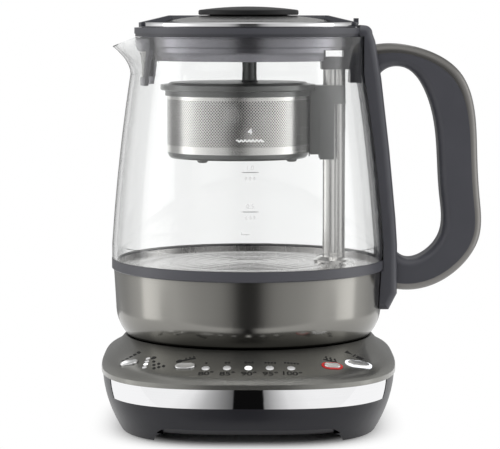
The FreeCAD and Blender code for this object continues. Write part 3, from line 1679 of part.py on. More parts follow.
def lid_frame():
    """Dark ring of the lid: raised at the sides and rear, cut low at the front, with a thumb tab."""
    inner = S.dome_radius + S.seat_gap
    bezel = S.lid_shoulder_radius - S.bezel_width
    spring = S.dome_edge + S.dome_flange
    ring = turned("lid_frame_ring", [
        (inner, S.lid_bottom), (S.lid_radius, S.lid_bottom), (S.lid_radius, S.lid_edge),
        (S.lid_shoulder_radius, S.lid_shoulder), (bezel, S.lid_shoulder), (bezel, spring + S.bezel_rise),
        (inner, spring + S.seat_gap)])
    front = sector("lid_front_cut", float(S.lid_front_angle), S.dome_radius - 9,
                   S.lid_radius + 9, S.lid_bottom + 0.4, S.lid_shoulder + 9, -90)
    tab = box("lid_tab", S.tab_length, 2 * S.tab_half_width, S.tab_top - S.lid_edge + 1,
              S.lid_radius - S.tab_length, -S.tab_half_width, S.lid_edge - 1)
    return piece(joined("lid_frame", cut("lid_frame_open", ring, front), tab), "lid_frame")


def lid_steel_band():
    """Polished band across the front: upright outside, then a shallow shelf in to the dome."""
    wall = S.band_wall
    low = S.lid_bottom + 0.5
    inner = S.dome_radius + S.seat_gap
    band = turned("lid_steel_band", [
        (S.band_outer - wall, low), (S.band_outer, low), (S.band_outer, S.band_top - 0.6),
        (S.band_outer - 0.6, S.band_top), (inner, S.band_top + 0.5), (inner, S.band_top + 0.5 - wall),
        (S.band_outer - wall, S.band_top - wall)], angle=float(S.lid_front_angle) - 0.4)
    band.Placement.Rotation = FreeCAD.Rotation(Vector(0, 0, 1), -90 - (float(S.lid_front_angle) - 0.4) / 2)
    return piece(band, "lid_steel_band")


def cap_curve(reach, rise):
    """Radius of a shallow cap that is level at its middle."""
    value = (float(reach) ** 2 + float(rise) ** 2) / (2 * float(rise))
    return Size(value, f"((pow({text_of(reach)}; 2) + pow({text_of(rise)}; 2)) / (2 * {text_of(rise)}))")


def lid_dome():
    """Shallow domed steel plate with a turned-down edge and a hole for the knob's screw."""
    hole = S.knob_screw + S.seat_gap
    edge = S.dome_radius
    inner = edge - S.dome_sheet
    curve = cap_curve(edge, S.dome_rise)
    spring = S.dome_edge + S.dome_flange
    top = spring + S.dome_rise - (hole * hole) / (2 * curve)
    return piece(turned("lid_dome", [
        (hole, top - S.dome_sheet), curve, (inner, spring - S.dome_sheet), (inner, S.dome_edge),
        (edge, S.dome_edge), (edge, spring), -curve, (hole, top)]), "lid_dome")


def lid_knob():
    """Wide knob on a short stem, hollow over the dome, with a blind screw hole and a slightly domed top."""
    hole = S.knob_screw + S.seat_gap
    foot = S.dome_edge + S.dome_flange + S.dome_rise
    flat = S.knob_radius - S.knob_chamfer
    shoulder = S.knob_edge + S.knob_chamfer
    hollow = S.knob_radius - S.knob_rim_width
    roof = S.knob_under + S.knob_hollow
    return piece(turned("lid_knob", [
        (hole, foot), (S.knob_stem, foot), (S.knob_stem, roof), (hollow, roof), (hollow, S.knob_under),
        (flat, S.knob_under),
        (S.knob_radius, S.knob_under + S.knob_chamfer), (S.knob_radius, S.knob_edge), (flat, shoulder),
        -cap_curve(flat, S.knob_top - shoulder), (0, S.knob_top), (0, S.knob_bore_top),
        (hole, S.knob_bore_top)]), "lid_knob")


def lid_skirt():
    """Plug of the lid: a flat roof and a stepped skirt, open at the post and at the spout."""
    wall = S.skirt_wall
    outer = S.skirt_radius
    one = outer - S.skirt_step_in
    two = one - S.skirt_step_in
    hole = S.knob_screw + S.seat_gap
    recess = S.knob_screw_head + S.seat_gap
    seat = S.roof_bottom + S.knob_screw_head_height
    step = 0.6
    ring = turned("skirt_ring", [
        (hole, seat), (recess, seat), (recess, S.roof_bottom), (outer - wall, S.roof_bottom),
        (two - wall, S.skirt_step_three),
        (S.skirt_foot_radius - wall, S.skirt_bottom), (S.skirt_foot_radius, S.skirt_bottom),
        (two, S.skirt_step_three), (two, S.skirt_step_two), (one, S.skirt_step_two + step),
        (one, S.skirt_step_one), (outer, S.skirt_step_one + step), (outer, S.lid_bottom),
        (hole, S.lid_bottom)])
    low = S.skirt_bottom - 1
    reach = S.skirt_radius
    post_gap = box("skirt_post_gap", reach, 2 * S.post_notch, S.bracket_top + 2 * step - low,
                   S.clamp_left - 2, -S.post_notch, low)
    side_gap = box("skirt_side_gap", reach, 4 * reach, S.bracket_bottom + step - low,
                   S.clamp_left - S.fit_gap, -2 * reach, low)
    spout_gap = box("skirt_spout_gap", reach, 2 * S.spout_notch, S.skirt_step_two - 1 - low,
                    -S.spout_notch_reach - reach, -S.spout_notch, low)
    return piece(cut("lid_skirt", ring, post_gap, side_gap, spout_gap), "lid_skirt")


def lid_seal():
    low = S.seal_bottom
    high = low + S.seal_height
    return piece(turned("lid_seal", [
        (S.skirt_radius, low), (S.seal_radius - 1, low), (S.seal_radius, low + 0.8),
        (S.seal_radius - 0.8, high), (S.skirt_radius, high)]), "lid_seal")


def knob_screw():
    """Screw from under the roof, through the dome and into the knob."""
    seat = S.roof_bottom + S.knob_screw_head_height
    head = cylinder("knob_screw_head", S.knob_screw_head, S.knob_screw_head_height, 0, 0, S.roof_bottom)
    shank = cylinder("knob_screw_shank", S.knob_screw, S.knob_bore_top - S.seat_gap - seat, 0, 0, seat)
    return piece(joined("knob_screw", head, shank), "knob_screw")


def filter_taper(name, border=0):
    """Trapezium seen from the spout, narrower at the bottom, as deep as the lid is wide."""
    top = S.filter_half_top - border
    bottom = S.filter_half_bottom - border
    outline = [(-bottom, S.filter_bottom), (bottom, S.filter_bottom), (top, S.filter_waist),
               (top, S.filter_top), (-top, S.filter_top), (-top, S.filter_waist)]
    return extruded(name, outline, "YZ_Plane", 4 * S.filter_radius)


def spout_filter_frame():
    """Curved tongue before the spout, flanged to the skirt, with one window for the mesh."""
    wall = S.filter_wall
    angle = float(S.filter_angle)
    tongue = sector("filter_tongue", angle, S.filter_radius - wall, S.filter_radius, S.filter_bottom,
                    S.filter_top, 180)
    flange = sector("filter_flange", angle, S.skirt_radius - S.skirt_step_in, S.filter_radius,
                    S.filter_top - S.filter_flange, S.filter_top, 180)
    window = shared("filter_window", sector(
        "filter_window_ring", angle, S.filter_radius - 2 * wall, S.filter_radius + wall,
        S.filter_bottom + S.filter_window, S.filter_window_top, 180), filter_taper("filter_window_taper",
                                                                                   S.filter_border))
    blank = shared("filter_blank", joined("filter_whole", tongue, flange), filter_taper("filter_outline"))
    return piece(cut("spout_filter_frame", blank, window), "spout_filter_frame")


def spout_filter_mesh():
    middle = S.filter_radius - S.filter_wall / 2
    half = S.mesh_thickness / 2
    sheet = sector("filter_mesh_ring", float(S.filter_angle), middle - half, middle + half,
                   S.filter_bottom + S.filter_window, S.filter_window_top, 180)
    return piece(shared("spout_filter_mesh", sheet, filter_taper("filter_mesh_taper", S.filter_border)),
                 "spout_filter_mesh")


def lid():
    lid_frame()
    lid_steel_band()
    lid_dome()
    lid_knob()
    lid_skirt()
    lid_seal()
    knob_screw()
    spout_filter_frame()
    spout_filter_mesh()


# ---------------------------------------------------------------- build, check and write

def build():
    power_base()
    jug()
    basket_lift()
    tea_basket()
    lid()
    DOC.recompute()


def check():
    for item in DOC.Objects:
        if {"Invalid", "Error"} & set(item.State):
            raise ValueError(f"{item.Label}: {item.State}")
    for item in PIECES:
        if item.Shape.isNull() or not item.Shape.isValid() or item.Shape.Volume <= 0:
            raise ValueError(f"{item.Label}: its shape is empty or not valid")


def write():
    os.makedirs("parts", exist_ok=True)
    for item in PIECES:
        item.Shape.exportStep(f"parts/{item.Label}.step")
        print(f"{item.Label}: {len(item.Shape.Solids)} solid(s), {item.Shape.Volume / 1000:.2f} cm3")


build()
check()
write()
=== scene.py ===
# %% [markdown]
# # Dressing an automatic tea maker
# The solids of the machine come in as a fixed frame: a sloping power base, a glass jug with a perforated
# basket on a lift, and a lid. This notebook gives every surface its finish and adds what is too fine for
# the solids: the basket's holes, the printed marks and the small lenses. Each step says what the thing is
# on the real machine, how it could be made, and why this way was taken.

# %% Load the frame
import math

import bmesh
import bpy
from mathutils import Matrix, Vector
from mathutils.bvhtree import BVHTree


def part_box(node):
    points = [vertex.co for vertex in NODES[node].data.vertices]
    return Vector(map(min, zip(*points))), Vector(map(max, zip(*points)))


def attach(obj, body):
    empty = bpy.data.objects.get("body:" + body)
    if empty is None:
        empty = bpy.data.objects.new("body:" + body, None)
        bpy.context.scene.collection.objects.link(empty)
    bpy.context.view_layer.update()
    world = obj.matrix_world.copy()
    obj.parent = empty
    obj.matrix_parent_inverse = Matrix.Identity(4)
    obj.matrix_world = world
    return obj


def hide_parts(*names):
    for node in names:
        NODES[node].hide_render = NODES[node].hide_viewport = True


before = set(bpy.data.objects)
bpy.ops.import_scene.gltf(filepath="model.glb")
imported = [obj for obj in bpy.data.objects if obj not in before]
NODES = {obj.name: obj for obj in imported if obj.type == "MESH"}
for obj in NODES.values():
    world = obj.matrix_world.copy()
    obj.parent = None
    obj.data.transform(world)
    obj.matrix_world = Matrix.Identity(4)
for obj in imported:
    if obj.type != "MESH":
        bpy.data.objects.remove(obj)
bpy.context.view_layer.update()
MM = 0.001

# %% [markdown]
# ## The camera
# A catalogue shot is taken from far away with a long lens, so that the jug keeps its true proportions. The
# camera stands 1.27 m in front of the jug's axis and looks down by a little over five degrees. Lens and tilt
# are given in points of the picture, so both are plain ratios.

# %% Camera
CAMERA_PLACE = Vector((0.000855, -1.270, 0.2301))
PICTURE_WIDTH = 500
FOCAL_LENGTH = 2237
LOOK_DOWN = math.atan(209.5 / FOCAL_LENGTH)
FILM_WIDTH = 36  # mm


def set_camera():
    data = bpy.data.cameras.new("studio_camera")
    data.sensor_fit = "HORIZONTAL"
    data.sensor_width = FILM_WIDTH
    data.lens = FILM_WIDTH * FOCAL_LENGTH / PICTURE_WIDTH
    data.clip_start = 0.05
    data.clip_end = 20
    camera = bpy.data.objects.new("studio_camera", data)
    camera.location = CAMERA_PLACE
    camera.rotation_euler = (math.pi / 2 - LOOK_DOWN, 0, 0)
    bpy.context.scene.collection.objects.link(camera)
    bpy.context.scene.camera = camera
    return camera


camera = set_camera()
bpy.context.scene.view_settings.view_transform = "Standard"
print("camera: lens", round(camera.data.lens, 1), "mm")

# %% [markdown]
# ## Shader sums written as Python
# A node tree is a drawing of a formula. `Wire` wraps one output socket and overloads the operators, so the
# formula can be written as it would be on paper and the Math nodes are added behind the scenes. The reflected
# operators are there for sums that start with a plain number, such as `1 - wire`.

# %% The Wire class


class Wire:
    """One output socket that can be used in Python sums."""

    def __init__(self, tree, socket):
        self.tree = tree
        self.socket = socket

    def sum(self, operation, *values):
        node = self.tree.nodes.new("ShaderNodeMath")
        node.operation = operation
        for slot, value in zip(node.inputs, values):
            feed(self.tree, slot, value)
        return Wire(self.tree, node.outputs[0])

    def __add__(self, other):
        return self.sum("ADD", self, other)

    def __radd__(self, other):
        return self.sum("ADD", other, self)

    def __sub__(self, other):
        return self.sum("SUBTRACT", self, other)

    def __rsub__(self, other):
        return self.sum("SUBTRACT", other, self)

    def __mul__(self, other):
        return self.sum("MULTIPLY", self, other)

    def __rmul__(self, other):
        return self.sum("MULTIPLY", other, self)

    def __truediv__(self, other):
        return self.sum("DIVIDE", self, other)

    def __rtruediv__(self, other):
        return self.sum("DIVIDE", other, self)

    def __pow__(self, other):
        return self.sum("POWER", self, other)

    def __neg__(self):
        return self.sum("MULTIPLY", self, -1.0)

    def __abs__(self):
        return self.sum("ABSOLUTE", self)

    def above(self, other):
        return self.sum("GREATER_THAN", self, other)

    def angle_from(self, other):
        """Angle of the point (other, self), seen from the origin, in radians."""
        return self.sum("ARCTAN2", self, other)


def feed(tree, slot, value):
    """Link a Wire to a socket, or set the socket's own value."""
    if isinstance(value, Wire):
        tree.links.new(value.socket, slot)
    elif isinstance(value, (tuple, list)) and len(value) == 3 and slot.type == "RGBA":
        slot.default_value = (*value, 1.0)
    else:
        slot.default_value = value


print("a wire can:", ", ".join(name.strip("_") for name, part in vars(Wire).items() if callable(part)))

# %% [markdown]
# Everything that isn't a sum goes through `Finish.node`, which takes a node type, its settings and its
# values. The other methods of `Finish` are the steps that most finishes share, such as noise and a bump.

# %% The Finish class


class Finish:
    """A material or world whose nodes are added one at a time."""

    def __init__(self, name, world=False):
        shelf = bpy.data.worlds if world else bpy.data.materials
        self.data = shelf.new(name)
        self.data.use_nodes = True
        self.tree = self.data.node_tree
        self.tree.nodes.clear()

    def node(self, kind, settings=None, output=0, **values):
        """Add a node. In value names a double underscore stands for a space, and _0 for the first input."""
        node = self.tree.nodes.new("ShaderNode" + kind)
        for name, value in (settings or {}).items():
            if name == "stops":
                self.set_stops(node.color_ramp, value)
            else:
                setattr(node, name, value)
        for name, value in values.items():
            key = int(name[1:]) if name[1:].isdigit() else name.replace("__", " ")
            feed(self.tree, node.inputs[key], value)
        return Wire(self.tree, node.outputs[output])

    @staticmethod
    def set_stops(ramp, stops):
        """Each stop is made at its own place, because a ramp sorts its stops as they move."""
        ramp.elements.remove(ramp.elements[1])
        ramp.elements[0].position = stops[0][0]
        ramp.elements[0].color = (*stops[0][1], 1.0)
        for place, colour in stops[1:]:
            ramp.elements.new(place).color = (*colour, 1.0)

    def split(self, vector):
        """The three parts of a vector, each as a Wire."""
        parts = self.tree.nodes.new("ShaderNodeSeparateXYZ")
        feed(self.tree, parts.inputs[0], vector)
        return [Wire(self.tree, socket) for socket in parts.outputs]

    def place(self):
        """The three object coordinates, in metres."""
        return self.split(self.node("TexCoord", output=3))

    def smooth(self, value, start, end, low=0.0, high=1.0):
        """Soft step from low to high while the value goes from start to end."""
        limits = {"From__Min": start, "From__Max": end, "To__Min": low, "To__Max": high}
        return self.node("MapRange", {"interpolation_type": "SMOOTHSTEP"}, Value=value, **limits)

    def noise(self, scale, detail, rough=0.5):
        """Noise with its own scale along each object axis, so it can be stretched into brush lines."""
        x, y, z = self.place()
        where = self.node("CombineXYZ", _0=x * scale[0], _1=y * scale[1], _2=z * scale[2])
        return self.node("TexNoise", Vector=where, Scale=1.0, Detail=detail, Roughness=rough)

    def bump(self, height, strength, distance):
        return self.node("Bump", Height=height, Strength=strength, Distance=distance)

    def blend(self, share, first, second):
        """Mix two colours."""
        settings = {"data_type": "RGBA"}
        return self.node("Mix", settings, output=2, _0=share, _6=first, _7=second)

    def close(self, shader):
        """Send the shader to the output and hand over the finished material or world."""
        kind = "OutputWorld" if isinstance(self.data, bpy.types.World) else "OutputMaterial"
        node = self.tree.nodes.new("ShaderNode" + kind)
        feed(self.tree, node.inputs["Surface"], shader)
        return self.data


print("a finish can make:", ", ".join(name for name in vars(Finish) if not name.startswith("_")))

# %% [markdown]
# ## Floor and studio
# The machine stands on a white table. A cut-out look comes from the table's own colour as the camera, the
# glass and the metal see it, and never from more lamps: away from the machine the table is plain white, and
# under and beside its base it is an ordinary lit surface, which keeps the soft contact shadow.
#
# The machine mirrors only the near part of the table, 60 cm wide. The far part carries the white on to the
# edge of the view. Metal and glass don't see that part, because it would lighten every lower edge.

# %% White table
TABLE_PAINT = (0.93, 0.93, 0.93)
PLAIN_WHITE = (1.0, 1.0, 1.0)
BASE_REACH = (0.084, 0.100)
SHADOW_FADE = (0.72, 1.08)


def seen_directly(finish):
    """One for rays of the camera, through glass or off a mirror; zero for the light that fills shadows."""
    camera_ray = finish.node("LightPath", output=0)
    glossy_ray = finish.node("LightPath", output=3)
    glass_ray = finish.node("LightPath", output=6)
    return (camera_ray + glossy_ray + glass_ray).above(0.5)


def table_finish():
    """Lit paint within the rounded outline of the base, plain white outside it."""
    finish = Finish("white_table")
    lit = finish.node("BsdfDiffuse", Color=TABLE_PAINT)
    plain = finish.node("Emission", Color=PLAIN_WHITE, Strength=1.0)
    x, y, _ = finish.place()
    away = ((abs(x) / BASE_REACH[0]) ** 3 + (abs(y) / BASE_REACH[1]) ** 3) ** (1 / 3)
    share = seen_directly(finish) * finish.smooth(away, *SHADOW_FADE)
    return finish.close(finish.node("MixShader", _0=share, _1=lit, _2=plain))


def flat_sheet(name, half_width, front, back, height, finish):
    """One level rectangle of the studio."""
    mesh = bpy.data.meshes.new(name)
    corners = [(-half_width, front, height), (half_width, front, height),
               (half_width, back, height), (-half_width, back, height)]
    mesh.from_pydata(corners, [], [(0, 1, 2, 3)])
    mesh.materials.append(finish)
    sheet = bpy.data.objects.new(name, mesh)
    bpy.context.scene.collection.objects.link(sheet)
    return sheet


near_table = flat_sheet("near_table", 0.30, -0.19, 0.30, -0.2 * MM, table_finish())
far_table = flat_sheet("far_table", 30, -4, 30, -0.4 * MM, table_finish())
far_table.visible_glossy = False
far_table.visible_transmission = False
print("table:", near_table.name, "and", far_table.name)

# %% [markdown]
# The chrome band of the base leans back towards its foot, so it mirrors the table just in front of the
# machine. Photographers lay a card there: black in the middle, where the lens looks out between two white
# boards, and grey fading to white beside it. Only polished surfaces see the card.

# %% Card in front of the base
CARD_END = 60
CARD_STOPS = [
    (-60, 0.95), (-44, 0.84), (-29, 0.46), (-17, 0.24), (-9.4, 0.12), (-8.6, 0.004),
    (8.6, 0.004), (9.4, 0.22), (17, 0.48), (27, 0.76), (44, 0.92), (60, 0.95),
]


def grey(level):
    return (level, level, level)


def card_finish():
    """Tones from left to right, by their place in millimetres."""
    finish = Finish("front_card")
    x, _, _ = finish.place()
    share = (x + CARD_END * MM) / (2 * CARD_END * MM)
    stops = [((place + CARD_END) / (2 * CARD_END), grey(level)) for place, level in CARD_STOPS]
    tone = finish.node("ValToRGB", {"stops": stops}, Fac=share)
    return finish.close(finish.node("Emission", Color=tone, Strength=1.0))


card = flat_sheet("front_card", 0.4, -0.19, -0.1015, 0.4 * MM, card_finish())
card.visible_camera = False
card.visible_diffuse = False
card.visible_transmission = False
card.visible_shadow = False
print("card:", len(CARD_STOPS), "tones")

# %% [markdown]
# Polished bands show the room, so the room matters more than the lamps. A catalogue studio has two long
# white screens left and right, a dark slot between them where the camera looks through, brighter strips at
# the sides and grey ones behind those. The world is that room: its brightness is a ramp over the compass
# direction, from the camera's side at 0 degrees to the far wall at 180, with a pale ceiling above.
#
# Two soft lamps hang high behind the machine, left and right of it, and draw the two bright lobes on the
# domed panel. The far wall is grey for the metal, but behind the glass of the jug it has to be white, so rays
# that came through glass and go to the back see a white of their own.

# %% Studio room
COMPASS_LEVELS = [
    (0, 0.05), (8, 0.07), (14, 0.30), (22, 0.50), (32, 0.60), (42, 0.66), (52, 0.76), (62, 0.92), (72, 1.18),
    (82, 1.55), (92, 1.90), (102, 2.00), (104.5, 1.00), (118, 0.80), (130, 0.56), (150, 0.44), (162, 0.30),
    (180, 0.28),
]
BRIGHTEST = 2.0
CEILING = {"front": 0.92, "back": 0.36, "turns along": (-0.5, 0.7), "starts up": (0.40, 0.72)}
LAMPS = {"level": 1.6, "aside": 0.16, "spread": 0.12, "starts along": (0.25, 0.55), "starts up": (0.30, 0.55)}
THROUGH_GLASS = {"starts along": (0.1, 0.4), "whitens along": (0.70, 0.90), "levels": (0.20, 1.0)}


def dimmed(level):
    return grey(level / BRIGHTEST)


def walls_and_ceiling(room, across, along, up):
    compass = abs(across).angle_from(-along) / math.pi
    stops = [(degrees / 180, dimmed(level)) for degrees, level in COMPASS_LEVELS]
    walls = room.node("ValToRGB", {"stops": stops}, Fac=compass)
    back = room.smooth(along, *CEILING["turns along"])
    ceiling = room.blend(back, dimmed(CEILING["front"]), dimmed(CEILING["back"]))
    return room.blend(room.smooth(up, *CEILING["starts up"]), walls, ceiling)


def with_lamps(room, across, along, up, seen):
    beside = room.smooth(abs(abs(across) - LAMPS["aside"]), LAMPS["spread"], 0.0)
    behind = room.smooth(along, *LAMPS["starts along"])
    raised = room.smooth(up, *LAMPS["starts up"])
    return room.blend(beside * behind * raised, seen, dimmed(LAMPS["level"]))


def with_white_behind_glass(room, along, seen):
    low, high = [level / BRIGHTEST for level in THROUGH_GLASS["levels"]]
    white = room.smooth(along, *THROUGH_GLASS["whitens along"], low, high)
    glass_ray = room.node("LightPath", output=6) * room.smooth(along, *THROUGH_GLASS["starts along"])
    return room.blend(glass_ray, seen, room.node("CombineColor", Red=white, Green=white, Blue=white))


def studio_room():
    room = Finish("studio_room", world=True)
    across, along, up = room.split(room.node("TexCoord", output=0))
    seen = walls_and_ceiling(room, across, along, up)
    seen = with_lamps(room, across, along, up, seen)
    seen = with_white_behind_glass(room, along, seen)
    screens = room.node("Background", Color=seen, Strength=BRIGHTEST)
    white = room.node("Background", Color=PLAIN_WHITE, Strength=1.0)
    camera_ray = room.node("LightPath", output=0)
    bpy.context.scene.world = room.close(room.node("MixShader", _0=camera_ray, _1=screens, _2=white))


studio_room()
print("room:", len(COMPASS_LEVELS), "stops from front to back")

# %% [markdown]
# One large soft lamp overhead gives the shadow under the base its direction. Nothing mirrors it.

# %% Overhead lamp


def soft_lamp(name, place, target, size, power):
    data = bpy.data.lights.new(name, "AREA")
    data.shape = "RECTANGLE"
    data.size, data.size_y = size
    data.energy = power
    lamp = bpy.data.objects.new(name, data)
    lamp.location = place
    lamp.rotation_euler = (Vector(target) - Vector(place)).to_track_quat("-Z", "Y").to_euler()
    lamp.visible_glossy = False
    bpy.context.scene.collection.objects.link(lamp)
    return lamp


overhead = soft_lamp("overhead_lamp", (0.1, -0.25, 1.5), target=(0, 0, 0.05), size=(1.2, 0.9), power=9)
print("lamp:", overhead.name, overhead.data.energy, "W")

# %% [markdown]
# ## Plain finishes
# Moulded plastic is one colour, but its skin has a fine spark-eroded texture and a gloss that wanders a
# little where the mould was polished. Both come from noise: a fine one lifts the surface, a coarse one
# moves the roughness and shades the colour.

# %% Moulded plastics
SPARK_GRAIN = (2600, 2600, 2600)
SPARK_DEPTH = 0.00002
MOULD_CLOUDS = (38, 38, 38)


def darker(colour, share):
    return tuple(channel * share for channel in colour)


def plastic(name, colour, rough, grain, coat=0.0, shine=0.5):
    finish = Finish(name)
    fine = finish.noise(SPARK_GRAIN, 2.0)
    broad = finish.noise(MOULD_CLOUDS, 3.0)
    skin = finish.node(
        "BsdfPrincipled",
        Base__Color=finish.blend(broad, darker(colour, 0.86), colour),
        Roughness=rough + (broad - 0.5) * 0.10 + (fine - 0.5) * 0.06,
        Normal=finish.bump(fine, grain, SPARK_DEPTH),
        Specular__IOR__Level=shine,
        Coat__Weight=coat,
        Coat__Roughness=0.12,
    )
    return finish.close(skin)


FINISHES = {
    "housing": plastic("housing_charcoal", (0.020, 0.020, 0.025), 0.34, 0.5, shine=0.28),
    "black": plastic("black_plastic", (0.010, 0.010, 0.011), 0.46, 0.7, shine=0.35),
    "charcoal": plastic("charcoal_plastic", (0.074, 0.075, 0.088), 0.36, 0.3),
    "knob": plastic("knob_charcoal", (0.014, 0.014, 0.015), 0.42, 0.3, shine=0.25),
    "seal": plastic("seal_silicone", (0.40, 0.40, 0.40), 0.5, 0.2),
    "rubber": plastic("black_rubber", (0.014, 0.014, 0.014), 0.75, 1.0),
    "board": plastic("circuit_board", (0.02, 0.12, 0.05), 0.35, 0.3, 0.4),
    "ink_black": plastic("black_ink", (0.008, 0.008, 0.008), 0.55, 0.1),
    "ink_white": plastic("white_ink", (0.90, 0.90, 0.90), 0.5, 0.1),
}
print("plastics:", ", ".join(FINISHES))

# %% [markdown]
# Brushed steel is drawn past an abrasive belt. Its scratches run one way, so the noise is squeezed in
# height and stretched along the belt: on the jug and the basket the lines then run level round the metal.
# Turned parts such as the dome and the plate get lines that cross them instead.
#
# The jug's shell and the panel are smoked steel, a dark mirror. Close to another piece such a mirror sees
# little of the room and turns black. Ambient occlusion measures how little, and that shade is painted into
# the colour of the metal there.
#
# The glossy plastics of the carrier and the skirt read as half metal. They come from the same recipe, with
# an even grain in place of the lines.

# %% Metals
LEVEL_LINES = (26, 26, 5200)
CROSS_LINES = (1800, 60, 60)
EVEN_GRAIN = (90, 90, 90)
LINE_DEPTH = 0.00001
METAL_CLOUDS = (22, 22, 22)


def metal(name, colour, rough, lines, coat=0.0, spread=0.08, metallic=1.0, along=LEVEL_LINES, painted_shade_reach=0.0):
    """Brushed metal with painted shade: its colour darkens within the given distance of another surface."""
    finish = Finish(name)
    strokes = finish.noise(along, 4.0, 0.6)
    cloud = finish.noise(METAL_CLOUDS, 2.0)
    tone = finish.blend(strokes * 0.7 + cloud * 0.3, darker(colour, 0.90), colour)
    if painted_shade_reach:
        # Painted shade: ambient occlusion darkens the colour near other pieces.
        openness = finish.node("AmbientOcclusion", {"samples": 8}, output=1, Distance=painted_shade_reach)
        tone = finish.blend(openness, darker(colour, 0.12), tone)
    skin = finish.node(
        "BsdfPrincipled",
        Base__Color=tone,
        Metallic=metallic,
        Roughness=rough + (strokes - 0.5) * spread,
        Normal=finish.bump(strokes, lines, LINE_DEPTH),
        Coat__Weight=coat,
        Coat__Roughness=0.06,
    )
    return finish.close(skin)


FINISHES.update(
    # The smoked shell and the panel get painted shade near other pieces.
    smoked=metal("smoked_steel", (0.302, 0.295, 0.274), 0.17, 0.06, spread=0.04, painted_shade_reach=22 * MM),
    panel=metal("panel_steel", (0.320, 0.317, 0.296), 0.22, 0.10, 0.0, 0.06, 0.88, painted_shade_reach=12 * MM),
    chrome=metal("polished_chrome", (0.95, 0.95, 0.96), 0.04, 0.02, spread=0.02),
    steel=metal("brushed_steel", (0.96, 0.945, 0.92), 0.24, 0.12, metallic=0.76),
    sheet=metal("sheet_steel", (1.0, 0.985, 0.96), 0.26, 0.12, metallic=0.86),
    # Painted shade: this dark steel stands in for the shade inside the basket.
    steel_inside=metal("steel_with_painted_shade", (0.04, 0.04, 0.04), 0.5, 0.12, metallic=0.5),
    carrier=metal("carrier_plastic", (0.215, 0.220, 0.215), 0.30, 0.02, 0.0, 0.04, 0.5, EVEN_GRAIN),
    smoky=metal("smoky_plastic", (0.31, 0.305, 0.335), 0.22, 0.02, 0.0, 0.04, 0.8, EVEN_GRAIN),
    dome=metal("dome_steel", (0.80, 0.80, 0.79), 0.22, 0.15, spread=0.10, along=CROSS_LINES),
    plate=metal("plate_steel", (0.62, 0.61, 0.60), 0.26, 0.15, spread=0.10, along=CROSS_LINES),
    button=metal("button_metal", (0.97, 0.97, 0.97), 0.09, 0.05, spread=0.04, metallic=0.8),
    lens=metal("lens_mirror", (0.96, 0.96, 0.97), 0.10, 0.02, 0.6, 0.03, 0.55),
    trim=metal("bronze_trim", (0.215, 0.208, 0.198), 0.34, 0.08, 0.25, 0.05, 0.9),
    zinc=metal("zinc_steel", (0.60, 0.60, 0.61), 0.38, 0.3),
    copper=metal("copper_contact", (0.78, 0.50, 0.30), 0.25, 0.1),
    element=metal("element_alloy", (0.30, 0.28, 0.26), 0.5, 0.4),
    magnet=metal("magnet_nickel", (0.72, 0.71, 0.68), 0.16, 0.05),
)
print("metals ready:", len(FINISHES), "finishes so far")

# %% [markdown]
# Glass needs no colour of its own. It is a closed wall with an outer and an inner skin, and what shows is how
# it
# bends the room: clear in the middle, dark where the wall is seen edge-on. That dark edge is painted shade: a
# ramp over the angle of view darkens the colour there, in place of the dark room that the edges bend. A
# little unevenness from the glass-blowing mould keeps the reflections from being perfectly straight.
#
# Light guides are frosted plastic with a lamp behind them. The white print on the basket is made like one and
# glows with painted light, because little light reaches it.

# %% Glass and lights
GLASS_RIPPLE = (14, 14, 9)
RIPPLE_DEPTH = 0.0003
GUIDE_CLOUDS = (900, 900, 900)
PAINTED_EDGE_SHADE = [
    (0.00, 0.985), (0.60, 0.970), (0.70, 0.90), (0.80, 0.66), (0.88, 0.34), (0.94, 0.12), (1.00, 0.02),
]


def clear_glass():
    """Nearly colourless; the stops give its painted edge shade, from facing (0) to edge-on (1)."""
    finish = Finish("clear_glass")
    ripple = finish.noise(GLASS_RIPPLE, 2.0)
    # Painted shade: the colour turns dark as the wall turns edge-on.
    edge_on = finish.node("LayerWeight", output=1, Blend=0.5)
    stops = [(place, (level * 0.995, level, level * 0.998)) for place, level in PAINTED_EDGE_SHADE]
    skin = finish.node(
        "BsdfPrincipled",
        Base__Color=finish.node("ValToRGB", {"stops": stops}, Fac=edge_on),
        Roughness=ripple * 0.01,
        IOR=1.47,
        Transmission__Weight=1.0,
        Normal=finish.bump(ripple, 0.10, RIPPLE_DEPTH),
    )
    return finish.close(skin)


def light_guide(name, colour, glow):
    """Frosted plastic with an even glow."""
    finish = Finish(name)
    cloud = finish.noise(GUIDE_CLOUDS, 2.0)
    skin = finish.node(
        "BsdfPrincipled",
        Base__Color=finish.blend(cloud, darker(colour, 0.9), colour),
        Roughness=0.25 + cloud * 0.1,
        Emission__Color=colour,
        Emission__Strength=glow,
    )
    return finish.close(skin)


FINISHES.update(
    glass=clear_glass(),
    guide=light_guide("light_guide", (0.55, 0.55, 0.55), 0.0),
    # The basket's print glows with painted light; it is no lamp.
    bright_mark=light_guide("bright_mark", (0.95, 0.95, 0.95), 0.55),
    lens_lit=light_guide("lens_lit", (1.0, 1.0, 1.0), 0.9),
    ring_red=light_guide("ring_red", (0.50, 0.012, 0.012), 0.15),
    ring_white=light_guide("ring_white", (0.93, 0.95, 1.0), 0.75),
)
print("all finishes:", len(FINISHES))

# %% [markdown]
# ## Dressing the solids
# Most nodes keep their solid and only get a finish. A loop over one dictionary keeps that readable.

